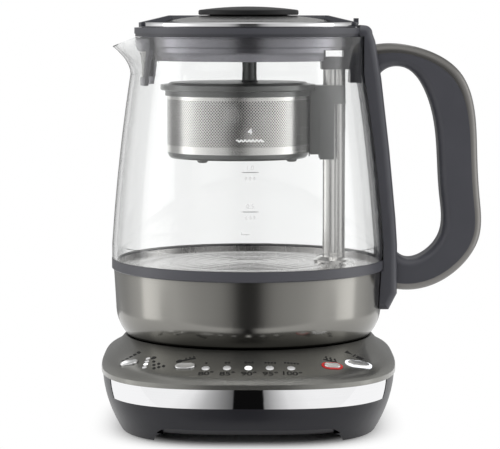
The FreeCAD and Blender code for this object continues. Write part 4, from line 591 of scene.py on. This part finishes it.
# %% Finish for each node
WEARS = {
    "housing": "base_lower_housing",
    "panel": "base_top_panel",
    "chrome": "base_chrome_band lid_steel_band",
    "black": "seat_insert power_connector button_switches cord_gland jug_socket jug_bottom_cover",
    "charcoal": "glass_ring top_collar handle_strap handle_grip lid_frame post_bracket",
    "knob": "lid_knob",
    "carrier": "basket_carrier basket_rim basket_floor basket_lid basket_stem",
    "smoky": "lid_skirt spout_filter_frame",
    "smoked": "jug_metal_shell",
    "steel": "basket_wall basket_screen guide_post post_foot spout_filter_mesh temperature_probe",
    "dome": "lid_dome",
    "plate": "heating_plate",
    "button": "strength_button temperature_button keep_warm_button start_button",
    "trim": "handle_trim",
    "zinc": "base_screws handle_screws knob_screw lift_motor lead_screw",
    "copper": "connector_contacts",
    "element": "heating_element",
    "magnet": "carrier_magnet drive_magnet",
    "seal": "glass_gasket lid_seal",
    "rubber": "rubber_feet",
    "board": "control_board",
    "glass": "glass_jug",
    "guide": "temperature_lights strength_lights",
    "ring_red": "keep_warm_ring",
    "ring_white": "start_ring",
}
dressed = []
for finish_name, node_names in WEARS.items():
    for node_name in node_names.split():
        mesh = NODES[node_name].data
        mesh.materials.clear()
        mesh.materials.append(FINISHES[finish_name])
        dressed.append(node_name)
print("dressed", len(dressed), "of", len(NODES), "nodes")

# %% [markdown]
# ## New pieces
# What is too fine for the solids is drawn here as a mesh of its own. It rides on the body that carries it on
# the real machine, so it moves with that body.

# %% A new piece


def into_data(name, mesh):
    """Turn a finished bmesh into mesh data and free it."""
    data = bpy.data.meshes.new(name)
    mesh.to_mesh(data)
    mesh.free()
    return data


def new_piece(name, data, body, finish):
    data.materials.append(finish)
    piece = bpy.data.objects.new(name, data)
    bpy.context.scene.collection.objects.link(piece)
    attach(piece, body)
    return piece


# %% [markdown]
# ## Perforated steel
# The tea basket is a strip of sheet steel that a press punches with staggered round holes before it is
# rolled and welded. The holes are real here, so depth, moiré and shadows come by themselves: every hole
# gets a rhombus of sheet round it, the rhombi share their corners, and the whole sheet is thickened at the
# end. The class draws the sheet flat and `place` bends it, so the wall, the floor screen and the spout's
# filter can share it.
#
# Hardly any light gets into the basket, so the skin on the inner side of the sheet and the cut edges of its
# holes wear a steel with that shade painted into it: the holes then read as dark dots, as they do on the real
# thing.

# %% Sheet of staggered holes
AROUND = [(2, 0), (1, 1), (0, 2), (-1, 1), (-2, 0), (-1, -1), (0, -2), (1, -1)]


class PunchedSheet:
    """Rhombus cells with a round hole each, on a grid of quarter pitches and half steps."""

    def __init__(self, pitch, step, hole, place, columns_round=0):
        self.pitch, self.step, self.hole, self.place = pitch, step, hole, place
        self.period = 4 * columns_round
        self.mesh = bmesh.new()
        self.knots = {}

    def knot(self, a, b):
        """A corner that cells share; on a closed strip the last column meets the first."""
        key = (a % self.period if self.period else a, b)
        if key not in self.knots:
            self.knots[key] = self.mesh.verts.new(self.place(key[0] * self.pitch / 4, b * self.step / 2))
        return self.knots[key]

    def cell(self, column, row, hole=None):
        """One rhombus with its hole; every second row is shifted by half a pitch."""
        hole = hole or self.hole
        a, b = 4 * column + 2 * (row % 2), 2 * row
        rim = [self.knot(a + da, b + db) for da, db in AROUND]
        x, z = a * self.pitch / 4, b * self.step / 2
        ring = []
        for k in range(len(AROUND)):
            angle = math.pi * k / 4
            spot = self.place(x + hole * math.cos(angle), z + hole * math.sin(angle))
            ring.append(self.mesh.verts.new(spot))
        for k in range(len(AROUND)):
            after = (k + 1) % len(AROUND)
            self.mesh.faces.new((rim[k], rim[after], ring[after], ring[k]))

    def border(self, columns, row, edge):
        """Fill the notches of an end row and add a plain band out to the height given by edge."""
        b = 2 * row
        side = 1 if edge > b * self.step / 2 else -1
        rail = {}
        for column in range(columns):
            a = 4 * column + 2 * (row % 2)
            for knot in (a, a + 4):
                key = knot % self.period
                if key not in rail:
                    rail[key] = self.mesh.verts.new(self.place(key * self.pitch / 4, edge))
            notch = [self.knot(a + 2, b), self.knot(a + 3, b + side), self.knot(a + 4, b + 2 * side),
                     self.knot(a, b + 2 * side), self.knot(a + 1, b + side)]
            band = [self.knot(a, b + 2 * side), self.knot(a + 4, b + 2 * side),
                    rail[(a + 4) % self.period], rail[a % self.period]]
            self.mesh.faces.new(notch[::side])
            self.mesh.faces.new(band[::side])

    def finish(self, name, thickness, body, finish, node):
        """Give the sheet its thickness and show it in place of a plain solid of the same sheet."""
        bmesh.ops.recalc_face_normals(self.mesh, faces=self.mesh.faces)
        piece = new_piece(name, into_data(name, self.mesh), body, finish)
        # The inner skin and the hole edges get the steel with painted shade.
        piece.data.materials.append(FINISHES["steel_inside"])
        skin = piece.modifiers.new("sheet_thickness", "SOLIDIFY")
        skin.thickness = thickness
        skin.offset = 0
        skin.material_offset = 1
        skin.material_offset_rim = 1
        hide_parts(node)
        return piece


print("hole cells have", len(AROUND), "corners")

# %% [markdown]
# The wall has a plain band above and below its holes, where the plastic rim and floor grip it.
#
# Its rear half has finer holes. With holes of full size there too, the white studio behind would shine
# through both halves and turn the wall into a net.

# %% Basket wall
BASKET_AXIS = -5.9 * MM
WALL_COLUMNS = 153
WALL_ROWS = 29
WALL_LOW = 157.65 * MM
WALL_STEP = 0.882 * MM
WALL_THICKNESS = 0.6 * MM
HOLE_RADIUS = 0.42 * MM
BACK_HOLE_RADIUS = 0.22 * MM


def basket_wall():
    low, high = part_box("basket_wall")
    radius = high[1] - WALL_THICKNESS / 2
    pitch = 2 * math.pi * radius / WALL_COLUMNS

    def place(along, height):
        angle = along / radius
        return (BASKET_AXIS + radius * math.sin(angle), -radius * math.cos(angle), WALL_LOW + height)

    sheet = PunchedSheet(pitch, WALL_STEP, HOLE_RADIUS, place, WALL_COLUMNS)
    for row in range(WALL_ROWS):
        for column in range(WALL_COLUMNS):
            behind = abs(column / WALL_COLUMNS - 0.5) < 0.25
            sheet.cell(column, row, BACK_HOLE_RADIUS if behind else HOLE_RADIUS)
    sheet.border(WALL_COLUMNS, 0, low[2] - WALL_LOW)
    sheet.border(WALL_COLUMNS, WALL_ROWS - 1, high[2] - WALL_LOW)
    return sheet.finish("punched_wall", WALL_THICKNESS, "tea_basket", FINISHES["sheet"], "basket_wall")


wall = basket_wall()
print("wall:", WALL_COLUMNS * WALL_ROWS, "holes,", len(wall.data.polygons), "faces")

# %% [markdown]
# The carrier touches the basket through a thin dark strip of soft plastic, which also closes the slit of
# daylight between the two.

# %% Strip between carrier and basket
STRIP_LOW = [34.36 * MM, 1.5 * MM, 150.0 * MM]
STRIP_HIGH = [34.90 * MM, 8.5 * MM, 184.4 * MM]


def box_data(name, low, high):
    """A block between two opposite corners."""
    mesh = bmesh.new()
    bmesh.ops.create_cube(mesh, size=1.0)
    for vert in mesh.verts:
        vert.co = [a + (b - a) * (share + 0.5) for a, b, share in zip(low, high, vert.co)]
    return into_data(name, mesh)


strip_data = box_data("carrier_strip", STRIP_LOW, STRIP_HIGH)
strip = new_piece("carrier_strip", strip_data, "basket_carrier", FINISHES["carrier"])
print("strip:", [round(size / MM, 2) for size in strip.dimensions], "mm")

# %% [markdown]
# The floor screen is a disc of the same sheet with a coarser pitch, and the filter before the spout a bent
# one. Both run a little way into the plastic that holds them, which hides their cut edges.

# %% Floor screen and spout filter
GRIPPED = 0.8 * MM
FILTER_SETBACK = 0.35 * MM
FILTER_TAPER = 0.74


def floor_screen():
    low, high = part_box("basket_screen")
    middle = (low[2] + high[2]) / 2
    reach = high[1] + GRIPPED
    pitch, step, hole = 2.1 * MM, 1.1 * MM, 0.55 * MM

    def place(along, across):
        return (BASKET_AXIS + along, across, middle)

    sheet = PunchedSheet(pitch, step, hole, place)
    rows = int(reach / step)
    columns = int(reach / pitch) + 1
    for row in range(-rows, rows + 1):
        for column in range(-columns, columns + 1):
            x = (column + (row % 2) / 2) * pitch
            if math.hypot(x, row * step) < reach - pitch / 2:
                sheet.cell(column, row)
    return sheet.finish("punched_floor", 0.4 * MM, "tea_basket", FINISHES["steel"], "basket_screen")


def spout_filter():
    low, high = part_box("spout_filter_mesh")
    radius = -low[0] - FILTER_SETBACK
    pitch, step, hole = 1.7 * MM, 0.9 * MM, 0.42 * MM
    top_half, bottom_half = high[1], high[1] * FILTER_TAPER

    def place(along, height):
        angle = -along / radius
        return (-radius * math.cos(angle), radius * math.sin(angle), low[2] + height)

    sheet = PunchedSheet(pitch, step, hole, place)
    rows = int((high[2] - low[2]) / step) + 1
    for row in range(-1, rows + 1):
        share = min(row * step / (high[2] - low[2]), 1)
        half = bottom_half + (top_half - bottom_half) * share + GRIPPED
        columns = int(half / pitch)
        for column in range(-columns, columns + 1):
            sheet.cell(column, row)
    return sheet.finish("punched_filter", 0.3 * MM, "lid", FINISHES["steel"], "spout_filter_mesh")


screen, filter_mesh = floor_screen(), spout_filter()
print("screen:", len(screen.data.polygons), "faces; filter:", len(filter_mesh.data.polygons), "faces")

# %% [markdown]
# ## Heating plate
# The jug's floor is pressed steel with shallow rings that stiffen it. A lathe profile with rounded grooves
# is turned about the jug's axis; the rings go down from the plate's own level, so the foot of the lift's
# post still stands on it.

# %% Plate with pressed rings
RING_PITCH = 6.5 * MM
RING_DEPTH = 0.55 * MM
RING_SHARE = 0.6
FIRST_RING = 9 * MM
RIM_GROOVE = (7 * MM, 6 * MM)
PLATE_THICKNESS = 1.0 * MM
CROWN_RISE = 1.2 * MM
CROWN_RADIUS = 51.7 * MM
CROWN_SLOPE = 3 * MM
SHARP_FROM = math.radians(35)


def turned_data(name, profile, sectors=128):
    """Surface of revolution from (radius, height) points."""
    mesh = bmesh.new()
    rings = []
    for radius, height in profile:
        count = 1 if radius < 1e-7 else sectors
        steps = [2 * math.pi * k / sectors for k in range(count)]
        rings.append([mesh.verts.new((radius * math.cos(t), radius * math.sin(t), height)) for t in steps])
    for lower, upper in zip(rings, rings[1:]):
        for k in range(sectors):
            corners = [lower[k % len(lower)], lower[(k + 1) % len(lower)],
                       upper[(k + 1) % len(upper)], upper[k % len(upper)]]
            unique = list(dict.fromkeys(corners))
            if len(unique) > 2:
                mesh.faces.new(unique)
    bmesh.ops.recalc_face_normals(mesh, faces=mesh.faces)
    for face in mesh.faces:
        face.smooth = True
    data = into_data(name, mesh)
    data.set_sharp_from_angle(angle=SHARP_FROM)
    return data


def groove(start, width, level, parts=8):
    """Rounded ring groove that begins at a radius and goes down from a level."""
    return [(start + width * k / parts, level - RING_DEPTH * math.sin(math.pi * k / parts) ** 2)
            for k in range(parts + 1)]


def heating_plate():
    low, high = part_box("heating_plate")
    outer, inner = high[1], high[1] - PLATE_THICKNESS
    foot = CROWN_RADIUS + CROWN_SLOPE
    floor = low[2] + PLATE_THICKNESS
    crown = floor + CROWN_RISE
    profile = [(0, crown)]
    radius = FIRST_RING
    while radius < CROWN_RADIUS - RING_PITCH:
        profile += groove(radius, RING_PITCH * RING_SHARE, crown)
        radius += RING_PITCH
    profile += [(CROWN_RADIUS, crown), (foot, floor)]
    profile += groove(CROWN_RADIUS + RIM_GROOVE[0], RIM_GROOVE[1], floor)
    profile += [(inner, floor), (inner, high[2]), (outer, high[2]), (outer, low[2])]
    profile += [(foot, low[2]), (CROWN_RADIUS, low[2] + CROWN_RISE), (0, low[2] + CROWN_RISE)]
    data = turned_data("ringed_plate", profile)
    piece = new_piece("ringed_plate", data, "jug", FINISHES["plate"])
    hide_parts("heating_plate")
    return piece


plate = heating_plate()
print("plate:", len(plate.data.polygons), "faces")

# %% [markdown]
# ## Printed marks
# Marks are screen-printed: a few hundredths of a millimetre of ink that follows the surface below. Words are
# left out. Where a machine of this kind has them, small pictures say the same: leaves for strength, a drop, a
# thermometer, steam. A `Drawing` collects the flat shapes of one print, in millimetres.

# %% Drawing
CAPITAL_SHARE = 0.72
BOLDER = 0.03


class Drawing:
    """Flat shapes in millimetres."""

    def __init__(self):
        self.points = []
        self.faces = []

    def shape(self, points):
        start = len(self.points)
        self.points += points
        self.faces.append(tuple(range(start, len(self.points))))
        return self

    def bar(self, x, y, width, height):
        return self.shape([(x, y), (x + width, y), (x + width, y + height), (x, y + height)])

    def disc(self, x, y, radius, sides=14):
        turns = [2 * math.pi * k / sides for k in range(sides)]
        return self.shape([(x + radius * math.cos(t), y + radius * math.sin(t)) for t in turns])

    def leaf(self, x, y, length, width):
        """Pointed leaf that stands on its stalk."""
        right = [(x + width / 2 * math.sin(math.pi * k / 6) ** 0.8, y + length * k / 6) for k in range(1, 6)]
        left = [(2 * x - px, py) for px, py in reversed(right)]
        return self.shape([(x, y), *right, (x, y + length), *left])

    def line(self, path, width):
        """Ribbon along a path, one quad for each of its stretches."""
        for start, end in zip(path, path[1:]):
            way = (Vector(end) - Vector(start)).normalized()
            side = Vector((-way.y, way.x)) * width / 2
            ends = [Vector(start) - side, Vector(end) - side, Vector(end) + side, Vector(start) + side]
            self.shape([tuple(corner) for corner in ends])
        return self

    def wave(self, x, y, length, height, width, turns, upright=False):
        """Wavy ribbon with its middle at a point."""
        steps = 8 * turns
        path = []
        for k in range(steps + 1):
            along = length * k / steps - length / 2
            sway = height / 2 * math.sin(2 * math.pi * turns * k / steps)
            path.append((x + sway, y + along) if upright else (x + along, y + sway))
        return self.line(path, width)

    def number(self, text, x, y, height, stretch=1.0):
        """Digits of the built-in typeface, a little bolder, centred on a point."""
        curve = bpy.data.curves.new("digits", "FONT")
        curve.body = text
        curve.align_x, curve.align_y = "CENTER", "CENTER"
        curve.size = height / CAPITAL_SHARE
        curve.offset = height * BOLDER
        holder = bpy.data.objects.new("digits", curve)
        flat = bpy.data.meshes.new_from_object(holder)
        start = len(self.points)
        self.points += [(x + v.co.x * stretch, y + v.co.y) for v in flat.vertices]
        self.faces += [tuple(start + k for k in face.vertices) for face in flat.polygons]
        bpy.data.objects.remove(holder)
        bpy.data.meshes.remove(flat)
        return self


print("a drawing can hold:", ", ".join(name for name in vars(Drawing) if not name.startswith("_")))

# %% [markdown]
# `lay` drops each point of a drawing onto the skin of a solid along a ray and lifts it by a hair, so the
# print follows every curve below it. Turning the drawing first keeps it in line with the panel's round front.

# %% Laying ink
INK_LIFT = 0.04 * MM
INK_THICKNESS = 0.02 * MM
RAY_START = 30 * MM
ABOVE_PANEL = 60  # mm, as in a drawing
DOWN = (0, 0, -1)


def skin_of(node):
    """The surface of a solid, ready for rays."""
    data = NODES[node].data
    corners = [vertex.co.copy() for vertex in data.vertices]
    return BVHTree.FromPolygons(corners, [tuple(face.vertices) for face in data.polygons])


def lay(name, drawing, skin, origin, right, up, inward, body, finish, slot_name):
    """Print a drawing on a skin, looking inward at it from the origin."""
    origin, right, up, inward = Vector(origin) * MM, Vector(right), Vector(up), Vector(inward)
    mesh = bmesh.new()
    spots = []
    for x, y in drawing.points:
        start = origin + right * (x * MM) + up * (y * MM) - inward * RAY_START
        spot, normal, _, _ = skin.ray_cast(start, inward)
        spots.append(mesh.verts.new(spot + normal * INK_LIFT))
    for face in drawing.faces:
        mesh.faces.new([spots[k] for k in face])
    piece = new_piece(name, into_data(name, mesh), body, finish)
    ink = piece.modifiers.new("ink", "SOLIDIFY")
    ink.thickness = INK_THICKNESS
    ink.offset = 0
    return piece


PANEL_SKIN = skin_of("base_top_panel")


def print_on_panel(name, drawing, x, y, turn=0.0):
    """Black print, with its place in millimetres and its turn in degrees."""
    angle = math.radians(turn)
    right = (math.cos(angle), math.sin(angle), 0)
    up = (-math.sin(angle), math.cos(angle), 0)
    return lay(name, drawing, PANEL_SKIN, (x, y, ABOVE_PANEL), right, up, DOWN, "power_base",
               FINISHES["ink_black"], "black_plastic")


print("ink:", round(INK_THICKNESS / MM, 3), "mm thick")

# %% [markdown]
# Five lights stand for five water temperatures. Their numbers are printed below them and one to five small
# leaves above, for teas that like hotter and hotter water.

# %% Temperature scale
TEMPERATURES = [
    ("80", -22.6, -91.8), ("85", -11.2, -92.6), ("90", 0.3, -92.7), ("95", 11.7, -92.6), ("100", 23.1, -91.8),
]
NUMBER_HEIGHT = 3.4
LEAVES_ABOVE = 10.5
LEAF_PITCH = 1.7


def temperature_scale():
    pieces = []
    for count, (value, x, y) in enumerate(TEMPERATURES, start=1):
        number = Drawing().number(value + "°", 0, 0, NUMBER_HEIGHT, 1.3)
        pieces.append(print_on_panel("number_" + value, number, x, y))
        leaves = Drawing()
        for k in range(count):
            leaves.leaf((k - (count - 1) / 2) * LEAF_PITCH, -0.9, 1.9, 1.3)
        pieces.append(print_on_panel("leaves_" + value, leaves, x, y + LEAVES_ABOVE))
    return pieces


print("temperature scale:", len(temperature_scale()), "prints")

# %% [markdown]
# The strength lights stand in a column: plain water at the top, then one, two and three leaves. The other
# prints name the buttons: rising bars for strength, a thermometer, steam over a cup, and run and stop.

# %% Button marks
STRENGTH_PLACES = [(-48.9, -65.4), (-48.7, -70.1), (-48.4, -74.8), (-48.2, -79.3)]


def drop(drawing, x, y, size, sides=14):
    """Water drop: an egg whose upper end is drawn out to a point."""
    outline = []
    for k in range(sides):
        turn = 2 * math.pi * k / sides
        pull = 0.55 + 0.45 * math.cos(turn / 2) ** 6
        outline.append((x + size * 0.42 * math.sin(turn), y + size * 0.62 * math.cos(turn) * pull))
    return drawing.shape(outline[::-1])


def strength_names():
    pieces = [print_on_panel("mark_water", drop(Drawing(), -2.6, 0, 3.8), *STRENGTH_PLACES[0], 8)]
    for count, (x, y) in enumerate(STRENGTH_PLACES[1:], start=1):
        leaves = Drawing()
        for k in range(count):
            leaves.leaf(-2.6 + 2.6 * k, -1.7, 3.5, 1.9)
        pieces.append(print_on_panel(f"mark_strength_{count}", leaves, x, y, 8))
    return pieces


def button_names():
    rising = Drawing()
    for k in range(5):
        rising.bar(-5.8 + 2.4 * k, -1.4, 1.7, 1.3 + 0.6 * k)
    thermometer = Drawing().disc(-4.2, 0, 1.8).bar(-3.4, -0.8, 8.0, 1.6)
    for k in range(3):
        thermometer.bar(-0.8 + 2.1 * k, 1.2, 0.8, 1.3)
    steam = Drawing().bar(-3.8, -2.4, 7.6, 1.3)
    for k in (-1, 0, 1):
        steam.wave(2.4 * k, 0.7, 3.6, 1.0, 0.9, 1, upright=True)
    run_stop = Drawing().shape([(-5.0, -2.0), (-1.2, 0), (-5.0, 2.0)]).bar(1.4, -1.8, 3.6, 3.6)
    run_stop.bar(-0.35, -2.1, 0.7, 4.2)
    return [
        print_on_panel("mark_rising_bars", rising, -64.5, -53.9, 22),
        print_on_panel("mark_thermometer", thermometer, -33.1, -75.4, 6),
        print_on_panel("mark_steam", steam, 44.5, -71.2, -8),
        print_on_panel("mark_run_stop", run_stop, 57.9, -58.0, -24),
    ]


print("button marks:", len(strength_names()) + len(button_names()))

# %% [markdown]
# ## Indicator lenses
# Each light guide ends in a small domed lens, square to the slope of the panel there. Unlit ones have a
# silvered back, so they mirror the room: a white crescent above, dark below. Two are lit, one temperature and
# one strength.

# %% Domed lenses
DOME_SIDES = 28
DOME_LEVELS = 6
LENS_FOOT = 0.6 * MM


def islands(node):
    """Middle of each separate solid of a node, seen from above, from left to right."""
    mesh = bmesh.new()
    mesh.from_mesh(NODES[node].data)
    bmesh.ops.remove_doubles(mesh, verts=mesh.verts, dist=1e-6)
    left = set(mesh.verts)
    middles = []
    while left:
        batch = [left.pop()]
        places = []
        while batch:
            vert = batch.pop()
            places.append(vert.co.copy())
            for edge in vert.link_edges:
                other = edge.other_vert(vert)
                if other in left:
                    left.remove(other)
                    batch.append(other)
        xs, ys = [p.x for p in places], [p.y for p in places]
        middles.append(((min(xs) + max(xs)) / 2, (min(ys) + max(ys)) / 2))
    mesh.free()
    return sorted(middles)


def add_dome(mesh, spot, normal, radius, height, index):
    """Half an ellipsoid on a short foot, with its axis along the normal."""
    turn = Vector((0, 0, 1)).rotation_difference(normal).to_matrix()
    rings = []
    for level in range(DOME_LEVELS + 1):
        angle = math.pi / 2 * level / DOME_LEVELS
        reach, rise = radius * math.cos(angle), height * math.sin(angle)
        ring = []
        for k in range(DOME_SIDES if level < DOME_LEVELS else 1):
            t = 2 * math.pi * k / DOME_SIDES
            point = Vector((reach * math.cos(t), reach * math.sin(t), rise))
            ring.append(mesh.verts.new(spot + turn @ point))
        rings.append(ring)
    foot = [mesh.verts.new(vert.co - normal * LENS_FOOT) for vert in rings[0]]
    rings.insert(0, foot)
    for lower, upper in zip(rings, rings[1:]):
        for k in range(DOME_SIDES):
            after = (k + 1) % DOME_SIDES
            corners = [lower[k], lower[after], upper[after % len(upper)], upper[k % len(upper)]]
            face = mesh.faces.new(list(dict.fromkeys(corners)))
            face.smooth = True
            face.material_index = index
    mesh.faces.new(foot[::-1]).material_index = index


def lens_row(name, node, radius, height, lit):
    """A dome on each light guide of a node, the one with the number `lit` aglow."""
    mesh = bmesh.new()
    skin = skin_of(node)
    for index, (x, y) in enumerate(islands(node)):
        spot, normal, _, _ = skin.ray_cast(Vector((x, y, ABOVE_PANEL * MM)), Vector(DOWN))
        add_dome(mesh, spot, normal, radius, height, 1 if index == lit else 0)
    piece = new_piece(name, into_data(name, mesh), "power_base", FINISHES["lens"])
    piece.data.materials.append(FINISHES["lens_lit"])
    return piece


temperature_lenses = lens_row("temperature_lenses", "temperature_lights", 2.0 * MM, 0.45 * MM, 2)
strength_lenses = lens_row("strength_lenses", "strength_lights", 1.35 * MM, 0.5 * MM, 1)
print("lenses:", len(temperature_lenses.data.polygons) + len(strength_lenses.data.polygons), "faces")

# %% [markdown]
# ## Marks on the jug and the basket
# The jug carries pale graduations on its front: a number, the line for the water, and leaves below it. They
# are printed straight from the front.

# %% Graduations
GLASS_MARKS = [("1.0", 148.3, 145.8, 142.8), ("0.5", 127.9, 124.7, 121.9)]  # heights of number, line, leaves
FROM_THE_FRONT = ((1, 0, 0), (0, 0, 1), (0, 1, 0))


def graduations():
    skin = skin_of("glass_jug")
    view = (*FROM_THE_FRONT, "jug", FINISHES["ink_white"], "clear_glass")
    pieces = []
    for value, number_height, line_height, leaf_height in GLASS_MARKS:
        mark = Drawing().number(value, 0, 0, 2.5).bar(-4.8, line_height - number_height, 9.6, 0.5)
        for k in (-1, 0, 1):
            mark.leaf(2.2 * k, leaf_height - number_height - 1.2, 2.4, 1.2)
        name = "graduation_" + value.replace(".", "_")
        pieces.append(lay(name, mark, skin, (0.9, -100, number_height), *view))
    lowest = Drawing().bar(-4.4, 0, 4.6, 0.5).bar(-4.4, 0, 0.5, 1.6)
    pieces.append(lay("graduation_lowest", lowest, skin, (0.4, -100, 112.6), *view))
    return pieces


print("graduations:", ", ".join(piece.name for piece in graduations()))

# %% [markdown]
# The basket carries a white number over a water line. The solid of its wall has flat facets, into which a
# thin print would sink. So this print is laid on a true cylinder of the wall's own radius, which answers rays
# as the skin of a solid does.

# %% Mark on the basket


class RoundWall:
    """The basket's wall as a true cylinder."""

    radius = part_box("basket_wall")[1][1]

    def ray_cast(self, start, inward):
        """Where a ray from the front meets the wall, and the normal there."""
        across = start.x - BASKET_AXIS
        out = Vector((across, -math.sqrt(self.radius ** 2 - across ** 2), 0))
        return Vector((start.x, out.y, start.z)), out.normalized(), None, None


def basket_mark():
    mark = Drawing().number("4", 0, 0, 3.0, 1.15).wave(0, -5.0, 15, 1.2, 0.75, 7)
    # Its finish glows with painted light.
    return lay("basket_water_mark", mark, RoundWall(), (0.85, -60, 166.0), *FROM_THE_FRONT, "tea_basket",
               FINISHES["bright_mark"], "stainless_steel")


print("basket:", basket_mark().name)
